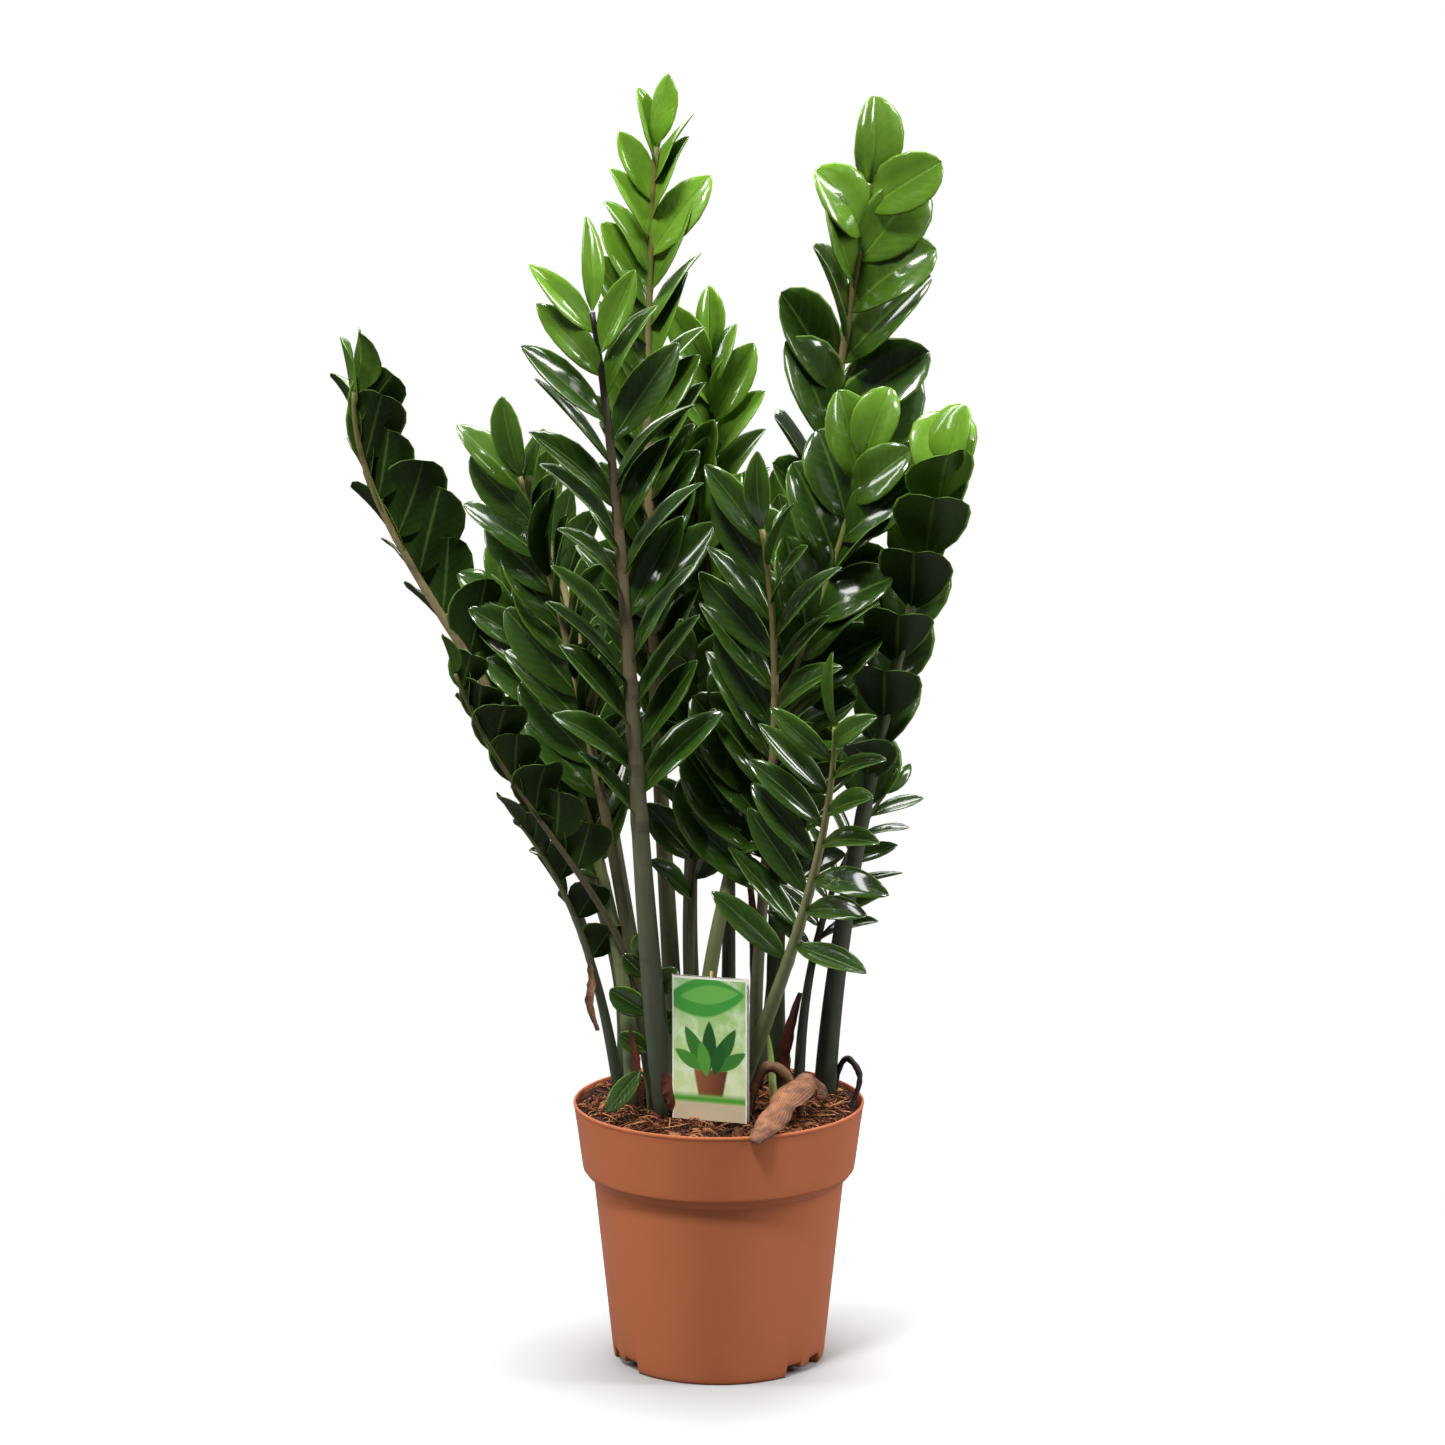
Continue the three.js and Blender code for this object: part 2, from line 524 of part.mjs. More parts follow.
// Pieces are placed in turn, and each is cut clear of everything before it and of every other stalk.
const smallPieces = [
  ["dried_leaf", (grow) => solidOf(curledStrip(DRIED_LEAF, 2 * grow)), COLOURS.dried],
  ...Object.entries(SHEATHS).map(([name, strip]) => (
    [name, (grow) => solidOf(curledStrip(strip, 2 * grow)), COLOURS.dried])),
  ...Object.entries(WITHERED).map(([name, bend]) => [name, (grow) => bentRod(bend, grow), COLOURS.dried]),
  ["young_shoot", (grow) => bentRod(SHOOT, grow), COLOURS.shoot],
  ["low_leaf", lowLeafSolid, COLOURS.leaf],
];

const stalks = FRONDS.map((frond) => solidOf(stalkGeometry(frond, GAP)));
const cardSpace = solidOf(cardGeometry().rotateZ(radians(CARD_TURN))
  .translate(CARD_CORNER.x, CARD_CORNER.y, CARD_CORNER.z));
const lipOutline = [
  [POT.lipRadius - POT.wall - GAP, POT.height + GAP], [POT.lipRadius - 3 * POT.wall, POT.bandLow],
  [POT.lipRadius, POT.bandLow], [POT.lipRadius + POT.lipSwell + GAP, POT.height + GAP],
  [POT.lipRadius - POT.wall - GAP, POT.height + GAP],
].map(([r, z]) => new THREE.Vector2(r, z));
const lipSpace = new THREE.LatheGeometry(lipOutline, POT.rounds).rotateX(Math.PI / 2);
let taken = solidOf(stickGeometry(GAP)).add(cardSpace).add(solidOf(lipSpace));

FRONDS.forEach((frond, i) => {
  const others = wasm.Manifold.union([taken, ...stalks.filter((_, k) => k !== i)]);
  const solid = biggest(frondSolid(frond, i + 1, 0).subtract(others));
  place(`frond_${twoDigits(i + 1)}`, geometryOf(solid), COLOURS.leaf);
  taken = taken.add(frondSolid(frond, i + 1, GAP));
});

smallPieces.forEach(([name, make, material]) => {
  place(name, geometryOf(biggest(make(0).subtract(taken))), material);
  taken = taken.add(make(GAP));
});

place("soil", geometryOf(biggest(soilSolid().subtract(taken))), COLOURS.soil);
place("pot", geometryOf(buildPot()), COLOURS.terracotta);
place("label_stick", stickGeometry(0), COLOURS.bamboo);
const card = place("label_card", cardGeometry(), COLOURS.card);
card.position.copy(CARD_CORNER);
card.rotation.z = radians(CARD_TURN);

export default plant;
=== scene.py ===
"""A potted zz plant: grower's pot, potting mix, fronds of glossy leaflets, plant card and dried scraps.

The frame is in metres, +Z up. The origin is the centre of the pot's underside, and the plant faces -Y.
Lengths in this file are millimetres until a mesh is made, and metres in the studio.
"""
import math

import bpy
import numpy as np
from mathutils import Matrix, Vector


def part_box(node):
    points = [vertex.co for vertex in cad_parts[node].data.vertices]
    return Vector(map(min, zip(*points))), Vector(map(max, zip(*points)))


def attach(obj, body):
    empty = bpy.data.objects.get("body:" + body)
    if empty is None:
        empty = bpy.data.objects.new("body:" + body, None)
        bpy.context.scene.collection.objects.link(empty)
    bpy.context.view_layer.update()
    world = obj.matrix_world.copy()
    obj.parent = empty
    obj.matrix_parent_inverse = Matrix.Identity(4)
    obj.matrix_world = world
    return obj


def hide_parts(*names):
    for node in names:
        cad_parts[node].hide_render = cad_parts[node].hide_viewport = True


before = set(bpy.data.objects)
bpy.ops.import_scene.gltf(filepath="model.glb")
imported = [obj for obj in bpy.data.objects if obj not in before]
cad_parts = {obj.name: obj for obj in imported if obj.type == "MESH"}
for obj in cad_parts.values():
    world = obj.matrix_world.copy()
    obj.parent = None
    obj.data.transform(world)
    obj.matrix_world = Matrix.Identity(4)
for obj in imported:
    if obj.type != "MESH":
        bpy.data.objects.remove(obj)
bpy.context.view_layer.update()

rng = np.random.default_rng(27)

# ---------------------------------------------------------------- sizes
MM = 0.001
POT = dict(height=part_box("pot")[1].z / MM, lip_radius=135.0, band_radius=126.5, band_foot=180.0,
           step_radius=116.6, step_height=171.0, foot_radius=98.5, base=3.0)
NOTCH = dict(count=3, first=-35.0, span=31.0, height=10.0, roof=12.5, depth=20.0, fades_at=20.0, hole=5.0,
             rib_half=3.95, rib_at=-1.0, rib_share=0.45)
SOIL = dict(edge=238.0, mound=6.0, tilt=0.05, lump=1.6, sunk=1.2)
CARD = dict(width=72.0, height=134.0, paper=0.7, fold=4.6, corner=(-43.0, -61.0, 243.5), turn=-17.5)
BURIED = 34.0

# Each frond: its route through foot, lower third, upper third and tip; the stalk's radius at foot and top;
# how many leaflets and where they begin; a grown leaflet's length and width; where the upper side looks;
# how far the rows fold up and the blades roll; the angle to the stalk at the lowest leaflet and at the tip;
# how young the tip is and how far down that reaches; how blunt the leaflets are; the stalk's colours.
FROND_FIELDS = ("route", "foot", "top", "leaves", "begin", "blade", "face", "lift", "roll", "spread",
                "young", "reach", "blunt", "stalk")
FRONDS = [dict(zip(FROND_FIELDS, row)) for row in [
    ([(-90, 60, 255), (-145, 65, 500), (-270, 50, 715), (-330, 5, 903)],
     7.5, 2.2, 19, 0.44, (84, 58), 45, 36, 10, (46, 34), 0.35, 0.2, 0.8, "tan"),
    ([(-65, 20, 265), (-95, -10, 405), (-170, -50, 530), (-235, -90, 660)],
     4.5, 1.8, 14, 0.5, (56, 50), 40, 38, 10, (46, 36), 0.15, 0.2, 1, "brown"),
    ([(-95, 30, 255), (-112, 20, 345), (-138, 0, 430), (-180, -38, 512)],
     6, 2, 8, 0.45, (50, 43), 45, 35, 10, (46, 36), 0, 0.2, 1, "grey"),
    ([(-65, 15, 275), (-95, 0, 463), (-131, -20, 650), (-178, -45, 832)],
     7, 2.4, 20, 0.45, (104, 42), -125, 15, 42, (34, 32), 0.12, 0.25, 0.4, "tan"),
    ([(-50, -45, 260), (-70, -75, 505), (-85, -105, 750), (-110, -130, 985)],
     11.5, 2.4, 24, 0.36, (110, 38), -78, 14, 54, (36, 38), 0.85, 0.22, 0.15, "dark_tip"),
    ([(-40, 60, 255), (-55, 60, 545), (-65, 60, 830), (-57, 50, 1122)],
     9, 2.4, 32, 0.42, (98, 42), -90, 15, 46, (34, 24), 0.95, 0.62, 0.2, "tan"),
    ([(-20, 90, 260), (-25, 120, 480), (-10, 140, 705), (-10, 150, 925)],
     8, 2.4, 24, 0.42, (92, 42), -85, 15, 38, (38, 28), 0.9, 0.45, 0.25, "purple"),
    ([(10, 70, 260), (10, 90, 465), (0, 95, 670), (-50, 80, 855)],
     7.5, 2.4, 22, 0.45, (90, 40), -100, 15, 32, (38, 26), 0.9, 0.6, 0.2, "purple"),
    ([(-25, 15, 270), (-25, 5, 400), (-20, -5, 530), (-25, -20, 655)],
     4.5, 1.8, 13, 0.42, (70, 32), -80, 15, 25, (44, 26), 0.4, 0.4, 0.4, "brown"),
    ([(35, 20, 265), (40, -30, 435), (50, -80, 610), (38, -130, 795)],
     7, 2.6, 22, 0.36, (110, 36), -120, 12, 52, (48, 34), 0.15, 0.15, 0.2, "tan"),
    ([(20, -25, 265), (60, -75, 385), (90, -120, 505), (102, -170, 625)],
     8, 2.2, 15, 0.36, (94, 27), -125, 18, 48, (66, 42), 0.2, 0.2, 0.3, "pale"),
    ([(100, 30, 255), (126, 0, 477), (165, -60, 683), (201, -110, 843)],
     10, 2.4, 14, 0.4, (88, 70), 170, 10, 75, (34, 30), 0.85, 0.4, 0.85, "grey"),
    ([(55, 50, 255), (62, 45, 540), (95, 30, 820), (136, -5, 1090)],
     9, 2.6, 21, 0.42, (114, 72), -70, 20, 36, (44, 38), 0.7, 0.4, 0.6, "tan"),
    ([(-15, -20, 265), (10, -35, 463), (70, -45, 656), (129, -55, 846)],
     8, 2.4, 22, 0.34, (104, 62), -110, 20, 28, (46, 30), 0.5, 0.12, 0.6, "pale"),
    ([(-80, -10, 270), (-100, 10, 420), (-140, 30, 565), (-195, 60, 705)],
     8.5, 2.4, 18, 0.4, (84, 42), -85, 15, 34, (44, 28), 0.1, 0.2, 0.3, "pale"),
    ([(75, 0, 270), (85, 20, 360), (110, 40, 445), (155, 70, 520)],
     5.5, 1.8, 14, 0.4, (62, 20), -90, 12, 44, (58, 36), 0.1, 0.2, 0.1, "dark"),
    ([(-62, -20, 255), (-64, -25, 300), (-65, -30, 345), (-70, -38, 385)],
     3, 1.5, 6, 0.3, (40, 24), -90, 10, 10, (55, 35), 0.1, 0.2, 0.5, "dark"),
    ([(-60, 90, 255), (-95, 125, 440), (-130, 165, 630), (-180, 200, 785)],
     8, 2.4, 22, 0.4, (90, 42), 85, 15, 30, (42, 26), 0.5, 0.25, 0.3, "tan"),
    ([(45, 95, 255), (60, 140, 430), (70, 185, 610), (85, 225, 770)],
     8, 2.4, 22, 0.38, (90, 42), 95, 15, 30, (42, 26), 0.5, 0.25, 0.3, "brown"),
]]


# ---------------------------------------------------------------- colours
def paint(red, green, blue):
    """A display colour from 0 to 255 as linear light, by the sRGB curve, with alpha 1."""
    share = np.array([red, green, blue]) / 255.0
    light = np.where(share <= 0.04045, share / 12.92, ((share + 0.055) / 1.055) ** 2.4)
    return (*light.tolist(), 1.0)


LEAF_OLD = paint(29, 51, 13)
# Young leaflets' lighter green, pushed brighter still as painted light: it stands in for light shining
# through the thin young blades and for their highlights.
LEAF_YOUNG_WITH_GLOW = paint(112, 158, 42)
STALK_COLOURS = {  # at the foot, a third up, two thirds up and at the tip
    "tan": (paint(66, 76, 54), paint(104, 98, 70), paint(146, 130, 92), paint(116, 108, 62)),
    "brown": (paint(66, 72, 48), paint(88, 84, 56), paint(100, 88, 62), paint(84, 84, 46)),
    "grey": (paint(58, 68, 52), paint(74, 84, 62), paint(104, 106, 74), paint(100, 114, 56)),
    "dark_tip": (paint(66, 74, 58), paint(98, 98, 74), paint(122, 106, 82), paint(30, 22, 20)),
    "purple": (paint(58, 64, 48), paint(74, 66, 50), paint(76, 56, 48), paint(42, 28, 28)),
    "pale": (paint(84, 98, 66), paint(110, 116, 74), paint(128, 124, 82), paint(116, 120, 62)),
    "dark": (paint(40, 46, 34), paint(50, 52, 38), paint(56, 54, 38), paint(50, 60, 28)),
}


# ---------------------------------------------------------------- meshes
def skins(rings):
    """Closed skins over rings of points, shape (skins, rows, around, 3).

    Ring i joins ring i + 1 with quads, round and round; a fan to the middle of its ring closes each end.
    Each ring runs counter-clockwise about the way the rows advance, so every face looks outwards.
    """
    count, rows, around, _ = rings.shape
    ends = rings[:, [0, -1]].mean(axis=2)
    points = np.concatenate([rings.reshape(count, rows * around, 3), ends], axis=1)
    row, step = np.meshgrid(np.arange(rows - 1), np.arange(around), indexing="ij")
    turn = (step + 1) % around
    quads = np.stack([row * around + step, row * around + turn,
                      (row + 1) * around + turn, (row + 1) * around + step], axis=-1).reshape(-1, 4)
    step = np.arange(around)
    turn = (step + 1) % around
    low = np.stack([np.full(around, rows * around), turn, step], axis=-1)
    last = (rows - 1) * around
    high = np.stack([np.full(around, rows * around + 1), last + step, last + turn], axis=-1)
    shift = (np.arange(count) * points.shape[1])[:, None, None]
    fans = np.concatenate([low, high])
    return points.reshape(-1, 3), (quads[None] + shift).reshape(-1, 4), (fans[None] + shift).reshape(-1, 3)


def spread(values):
    """Values of ring points, shape (skins, rows, around, k), and their mean for the middle of each end."""
    count, rows, around, size = values.shape
    ends = values[:, [0, -1]].mean(axis=2)
    return np.concatenate([values.reshape(count, rows * around, size), ends], axis=1).reshape(-1, size)


def new_piece(name, rings, material, slot, nodes=(), **attributes):
    """A closed mesh over rings of points in millimetres, which rides on the root body.

    An attribute is an array per ring point: one number, or the four of a colour.
    """
    points, quads, fans = skins(rings)
    mesh = bpy.data.meshes.new(name)
    mesh.vertices.add(len(points))
    mesh.vertices.foreach_set("co", (points * MM).astype(np.float32).ravel())
    corners = np.concatenate([quads.ravel(), fans.ravel()]).astype(np.int32)
    sizes = np.concatenate([np.full(len(quads), 4), np.full(len(fans), 3)]).astype(np.int32)
    mesh.loops.add(len(corners))
    mesh.loops.foreach_set("vertex_index", corners)
    mesh.polygons.add(len(sizes))
    starts = (np.cumsum(sizes) - sizes).astype(np.int32)
    mesh.polygons.foreach_set("loop_start", starts)
    mesh.polygons.foreach_set("use_smooth", np.ones(len(sizes), bool))
    for label, values in attributes.items():
        values = np.broadcast_to(values, rings.shape[:3] + values.shape[3:])
        if values.ndim == 3:
            layer = mesh.attributes.new(label, "FLOAT", "POINT")
            layer.data.foreach_set("value", spread(values[..., None]).astype(np.float32).ravel())
        else:
            layer = mesh.attributes.new(label, "FLOAT_COLOR", "POINT")
            layer.data.foreach_set("color", spread(values).astype(np.float32).ravel())
    mesh.update(calc_edges=True)
    mesh.validate()
    mesh.materials.append(material)
    piece = bpy.data.objects.new(name, mesh)
    bpy.context.scene.collection.objects.link(piece)
    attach(piece, "root")
    if nodes:
        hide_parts(*nodes)
    return piece


def unit(vectors):
    """Vectors over their own lengths."""
    return vectors / np.linalg.norm(vectors, axis=-1, keepdims=True)


def smooth_line(points, count):
    """A Catmull-Rom line through a few points, sampled evenly in the parameter."""
    points = np.array(points, float)
    padded = np.concatenate([[2 * points[0] - points[1]], points, [2 * points[-1] - points[-2]]])
    at = np.linspace(0, len(points) - 1, count)
    part = np.minimum(at.astype(int), len(points) - 2)
    t = (at - part)[:, None]
    a, b, c, d = (padded[part + k] for k in range(4))
    square = (2 * a - 5 * b + 4 * c - d) * t ** 2
    cube = (3 * b - a - 3 * c + d) * t ** 3
    return 0.5 * (2 * b + (c - a) * t + square + cube)


def tube_rings(line, radii, sides, out_of_round=None):
    """Round rings about a line: point = centre + radius (cos turn across + sin turn third)."""
    along = unit(np.gradient(line, axis=-2))
    helper = np.where(np.abs(along[..., 1:2]) < 0.9, [0.0, 1.0, 0.0], [1.0, 0.0, 0.0])
    across = unit(np.cross(helper, along))
    third = np.cross(along, across)
    turn = np.linspace(0, 2 * math.pi, sides, endpoint=False)
    radius = np.broadcast_to(np.asarray(radii, float)[..., None], line.shape[:-1] + (sides,))
    if out_of_round is not None:
        radius = radius * out_of_round
    offset = across[..., None, :] * np.cos(turn)[:, None] + third[..., None, :] * np.sin(turn)[:, None]
    return line[..., None, :] + radius[..., None] * offset


def tones(colour, like):
    """A colour, or one for each skin or row, for every ring point of an array of rings."""
    return np.broadcast_to(np.asarray(colour, float), like.shape[:3] + (4,))


# ---------------------------------------------------------------- materials
class Value:
    """An output socket of a finish's nodes; arithmetic on it adds Math nodes."""

    def __init__(self, finish, socket):
        self.finish = finish
        self.socket = socket

    def maths(self, operation, *values):
        """A Math node of one operation over values or links."""
        return self.finish.add("ShaderNodeMath", {"operation": operation}, dict(enumerate(values)))

    def __add__(self, other):
        return self.maths("ADD", self, other)

    def __sub__(self, other):
        return self.maths("SUBTRACT", self, other)

    def __rsub__(self, other):
        return self.maths("SUBTRACT", other, self)

    def __mul__(self, other):
        return self.maths("MULTIPLY", self, other)

    def __truediv__(self, other):
        return self.maths("DIVIDE", self, other)

    def __pow__(self, power):
        return self.maths("POWER", self, power)

    def __abs__(self):
        return self.maths("ABSOLUTE", self)

    __radd__ = __add__
    __rmul__ = __mul__

    def zigzag(self):
        """0 at whole numbers, 1 half way between them, straight in between."""
        return self.maths("PINGPONG", self, 0.5) * 2

    def at_least(self, low):
        """The larger of this and low."""
        return self.maths("MAXIMUM", self, low)

    def at_most(self, high):
        """The smaller of this and high."""
        return self.maths("MINIMUM", self, high)

    def share(self, start, end):
        """0 before start, 1 after end, even in between."""
        return ((self - start) / (end - start)).at_least(0.0).at_most(1.0)


class Finish:
    """A material: one Principled shader, and the nodes that feed it."""

    def __init__(self, name, **constants):
        self.material = bpy.data.materials.new(name)
        self.material.use_nodes = True
        self.tree = self.material.node_tree
        self.shader = self.tree.nodes["Principled BSDF"]
        self.feed(self.shader, {key.replace("_", " "): value for key, value in constants.items()})

    def feed(self, node, sockets):
        """Links or plain values into a node's sockets."""
        for key, value in sockets.items():
            if isinstance(value, Value):
                self.tree.links.new(value.socket, node.inputs[key])
            else:
                node.inputs[key].default_value = value

    def add(self, kind, settings=None, sockets=None, output=0):
        """A node of a type: settings first, then values or links for its sockets; gives one output."""
        node = self.tree.nodes.new(kind)
        for key, value in (settings or {}).items():
            setattr(node, key, value)
        self.feed(node, sockets or {})
        return Value(self, node.outputs[output])

    def number(self, label):
        """A piece's own attribute as a number."""
        return self.add("ShaderNodeAttribute", {"attribute_name": label}, output="Fac")

    def colour(self, label):
        """A piece's own attribute as a colour."""
        return self.add("ShaderNodeAttribute", {"attribute_name": label}, output="Color")

    def place(self, stretch=(1, 1, 1)):
        """Object coordinates in metres, stretched along each axis."""
        spot = self.add("ShaderNodeTexCoord", output="Object")
        return self.add("ShaderNodeMapping", {}, {"Vector": spot, "Scale": stretch})

    def noise(self, where, scale, detail=3.0, rough=0.55):
        """Cloudy noise from 0 to 1, about 0.5 on average."""
        return self.add("ShaderNodeTexNoise", {},
                        {"Vector": where, "Scale": scale, "Detail": detail, "Roughness": rough})

    def mix(self, share, first, second, blend="MIX"):
        """The first colour at share 0, the second at 1, or the two blended."""
        return self.add("ShaderNodeMix", {"data_type": "RGBA", "blend_type": blend},
                        {0: share, 6: first, 7: second}, output=2)

    def grey(self, number):
        """A number as a grey colour."""
        return self.add("ShaderNodeCombineColor", {}, {0: number, 1: number, 2: number})

    def bump(self, height, strength, distance):
        """A normal that leans as the height's slope does."""
        sockets = {"Strength": strength, "Distance": distance, "Height": height}
        return self.add("ShaderNodeBump", {}, sockets)

    def surface(self, **sockets):
        """The shader's sockets fed, and the finished material."""
        self.feed(self.shader, {key.replace("_", " "): value for key, value in sockets.items()})
        return self.material


def leaf_finish():
    """Waxy leaf: glossy and dark above, matt and greyer below, lighter towards the margins as painted edge
    glow, a bright margin, veins that sweep ahead.
    """
    leaf = Finish("leaf_wax", Specular_IOR_Level=0.14, Coat_Roughness=0.12)
    across = abs(leaf.number("across"))
    along = leaf.number("along")
    under = leaf.number("under")
    tone = leaf.colour("tone")
    where = leaf.place()
    swell = leaf.noise(where, 45.0, 2.0)
    vein = (1 - (along * 9 - across * 2.6 + swell * 1.4).zigzag()) ** 4
    midrib = (1 - across * 12).at_least(0.0)
    margin = across.share(0.9, 0.97)
    patches = leaf.noise(where, 26.0, 3.0)
    shaded = leaf.mix(0.9, tone, leaf.grey(patches * 1.2 + 0.4), "MULTIPLY")
    # Painted edge glow: each blade is mixed towards a lighter green from its middle out to its margins.
    edge_glow = leaf.mix(0.8, shaded, paint(96, 140, 34))
    outwards = leaf.mix(across.share(0.2, 1.0) * 0.22, shaded, edge_glow)
    upper = leaf.mix(midrib * 0.3 + margin * 0.4 + vein * 0.04, outwards, paint(128, 166, 62))
    matt = leaf.mix(0.35, outwards, paint(30, 48, 14))
    lower = leaf.mix(midrib * 0.45 + vein * 0.05 + margin * 0.4, matt, paint(108, 136, 58))
    fine = leaf.noise(where, 420.0, 3.0)
    relief = vein * (1 - under * 0.9) * -0.13 + midrib * -0.8 + swell * 1.6 + fine * 0.035
    return leaf.surface(
        Base_Color=leaf.mix(under, upper, lower),
        Roughness=under * 0.2 + patches * 0.14 + 0.24,
        Coat_Weight=(1 - under) * (1 - margin),
        Normal=leaf.bump(relief, 0.5, 0.0012))


def stalk_finish():
    """Stalk: its own colours along its length, mottled with dark blotches and fine lengthwise streaks."""
    stalk = Finish("stalk_skin", Specular_IOR_Level=0.4)
    tone = stalk.colour("tone")
    streaks = stalk.noise(stalk.place((260, 260, 18)), 1.0, 3.0)
    blotches = stalk.noise(stalk.place((14, 14, 34)), 1.0, 4.0, 0.6)
    dark = stalk.mix(blotches.share(0.55, 0.72) * 0.6, tone, paint(34, 34, 30))
    streaked = stalk.mix(0.8, dark, stalk.grey(streaks * 0.7 + 0.62), "MULTIPLY")
    return stalk.surface(
        Base_Color=streaked,
        Roughness=blotches * 0.2 + 0.32,
        Normal=stalk.bump(streaks, 0.35, 0.0006))


def pot_finish():
    """Terracotta-coloured plastic: satin, faintly cloudy, with fine scuffs and a moulded grain."""
    pot = Finish("pot_plastic", Specular_IOR_Level=0.12)
    clouds = pot.noise(pot.place((6, 6, 3)), 1.0, 4.0)
    grain = pot.noise(pot.place(), 1400.0, 2.0)
    scuffs = pot.noise(pot.place((30, 30, 260)), 1.0, 5.0, 0.7).share(0.6, 0.78)
    body = pot.mix(clouds, paint(180, 102, 66), paint(190, 111, 74))
    worn = pot.mix(scuffs * 0.1, body, paint(190, 134, 104))
    return pot.surface(
        Base_Color=worn,
        Roughness=clouds * 0.12 + scuffs * 0.1 + 0.42,
        Normal=pot.bump(grain, 0.12, 0.0002))


def scrap_finish(name, rough, streak, relief):
    """Dry plant stuff, soil and fibre: its own tone, streaked and pitted by noise."""
    scrap = Finish(name, Specular_IOR_Level=0.2)
    tone = scrap.colour("tone")
    coarse = scrap.noise(scrap.place(), streak, 5.0, 0.65)
    fine = scrap.noise(scrap.place(), streak * 5, 3.0)
    spotted = scrap.mix(0.95, tone, scrap.grey(coarse * 1.5 + 0.25), "MULTIPLY")
    return scrap.surface(
        Base_Color=spotted,
        Roughness=fine * 0.15 + rough,
        Normal=scrap.bump(coarse + fine * 0.4, 0.8, relief))


def dried_finish():
    """Dry papery leaf: its own tone, redder between its lengthwise veins, blotched and darker at the ends."""
    dry = Finish("dry_leaf", Specular_IOR_Level=0.45)
    tone = dry.colour("tone")
    across = dry.number("across")
    along = dry.number("along")
    blotches = dry.noise(dry.place(), 90.0, 4.0, 0.6)
    grain = dry.noise(dry.place(), 30.0, 3.0)
    ribs = (across * 7 + along * 2 + grain * 5).zigzag()
    fine = (across * 19 + along * 5 + grain * 11).zigzag()
    cross = (along * 30 + blotches * 3).zigzag()
    reddened = dry.mix(ribs * 0.9, tone, dry.mix(0.75, tone, paint(112, 40, 22)))
    ends = (abs(along - 0.5) * 2).share(0.45, 1.0)
    shaded = dry.mix(across.share(-0.2, 0.9) * 0.6, reddened, paint(92, 44, 26))
    patches = (blotches.share(0.42, 0.62) * 0.6 + ends * 0.5).at_most(0.85)
    patchy = dry.mix(patches, shaded, paint(72, 36, 26))
    ribbed = dry.mix(0.9, patchy, dry.grey(fine * 0.8 + 0.4), "MULTIPLY")
    return dry.surface(
        Base_Color=ribbed,
        Roughness=blotches * 0.2 + 0.38,
        Normal=dry.bump(ribs + fine * 0.4 + cross * 0.25 + blotches * 2, 0.7, 0.0009))


def card_finish():
    """Printed card: a leafy plant in a brown pot on a pale field, a tan strip below, a cream margin.

    x and y run from 0 to 1 over the card's front.
    """
    card = Finish("printed_card", Specular_IOR_Level=0.5)
    x = card.number("across")
    y = card.number("along")
    front = card.number("front")
    blur = card.noise(card.place(), 60.0, 2.0)

    def leaf_shape(x0, y0, lean, half_length, half_width):
        """1 inside a pointed oval, |p|^1.7 + |q|^1.2 < 1, in axes turned by lean degrees."""
        turn = math.radians(lean)
        dx = x - x0
        dy = (y - y0) * (CARD["height"] / CARD["width"])
        p = abs(dx * math.cos(turn) + dy * math.sin(turn)) / half_length
        q = abs(dy * math.cos(turn) - dx * math.sin(turn)) / half_width
        return (1 - p ** 1.7 - q ** 1.2).share(0.0, 0.12)

    def window(value, low, high, soft=0.012):
        """1 between two values, with a soft edge."""
        return value.share(low - soft, low + soft) * (1 - value.share(high - soft, high + soft))

    art = card.mix(y.share(0.15, 0.95), paint(214, 230, 170), paint(120, 180, 84))
    art = card.mix(blur.share(0.42, 0.62) * 0.5, art, paint(240, 246, 222))
    art = card.mix(leaf_shape(0.44, 0.86, 6, 0.55, 0.27), art, paint(66, 150, 58))
    art = card.mix(leaf_shape(0.5, 0.88, 6, 0.4, 0.13) * 0.5, art, paint(130, 196, 96))
    pot_half = y * 0.35 + 0.1
    pot_shape = window(abs(x - 0.52) - pot_half, -1.0, 0.0) * window(y, 0.17, 0.36)
    art = card.mix(pot_shape, art, card.mix(x.share(0.3, 0.75), paint(150, 92, 58), paint(92, 48, 32)))
    for spray, green in [
            ((0.5, 0.52, 90, 0.34, 0.1), (30, 82, 32)),
            ((0.33, 0.5, 118, 0.33, 0.1), (52, 116, 40)),
            ((0.7, 0.5, 62, 0.33, 0.1), (40, 98, 36)),
            ((0.24, 0.42, 146, 0.24, 0.09), (70, 136, 48)),
            ((0.79, 0.42, 34, 0.24, 0.09), (58, 122, 44)),
            ((0.43, 0.43, 100, 0.24, 0.09), (84, 150, 56)),
            ((0.62, 0.44, 76, 0.24, 0.09), (34, 88, 34))]:
        art = card.mix(leaf_shape(*spray), art, paint(*green))
    grass = window(y, 0.12, 0.175, 0.02)
    art = card.mix(grass, art, paint(86, 160, 56))
    art = card.mix(1 - y.share(0.118, 0.124), art, paint(206, 190, 158))
    edge = (abs(x - 0.5).share(0.478, 0.482) + y.share(0.984, 0.986)).at_most(1.0)
    art = card.mix(edge, art, paint(238, 236, 224))
    return card.surface(
        Base_Color=card.mix(front, paint(236, 234, 222), art),
        Roughness=blur * 0.1 + 0.3)


def bamboo_finish():
    """Split bamboo: pale tan with lengthwise grain."""
    bamboo = Finish("bamboo", Specular_IOR_Level=0.3)
    grain = bamboo.noise(bamboo.place((900, 900, 30)), 1.0, 3.0)
    return bamboo.surface(
        Base_Color=bamboo.mix(grain, paint(170, 122, 70), paint(226, 184, 122)),
        Roughness=grain * 0.2 + 0.5,
        Normal=bamboo.bump(grain, 0.4, 0.0004))


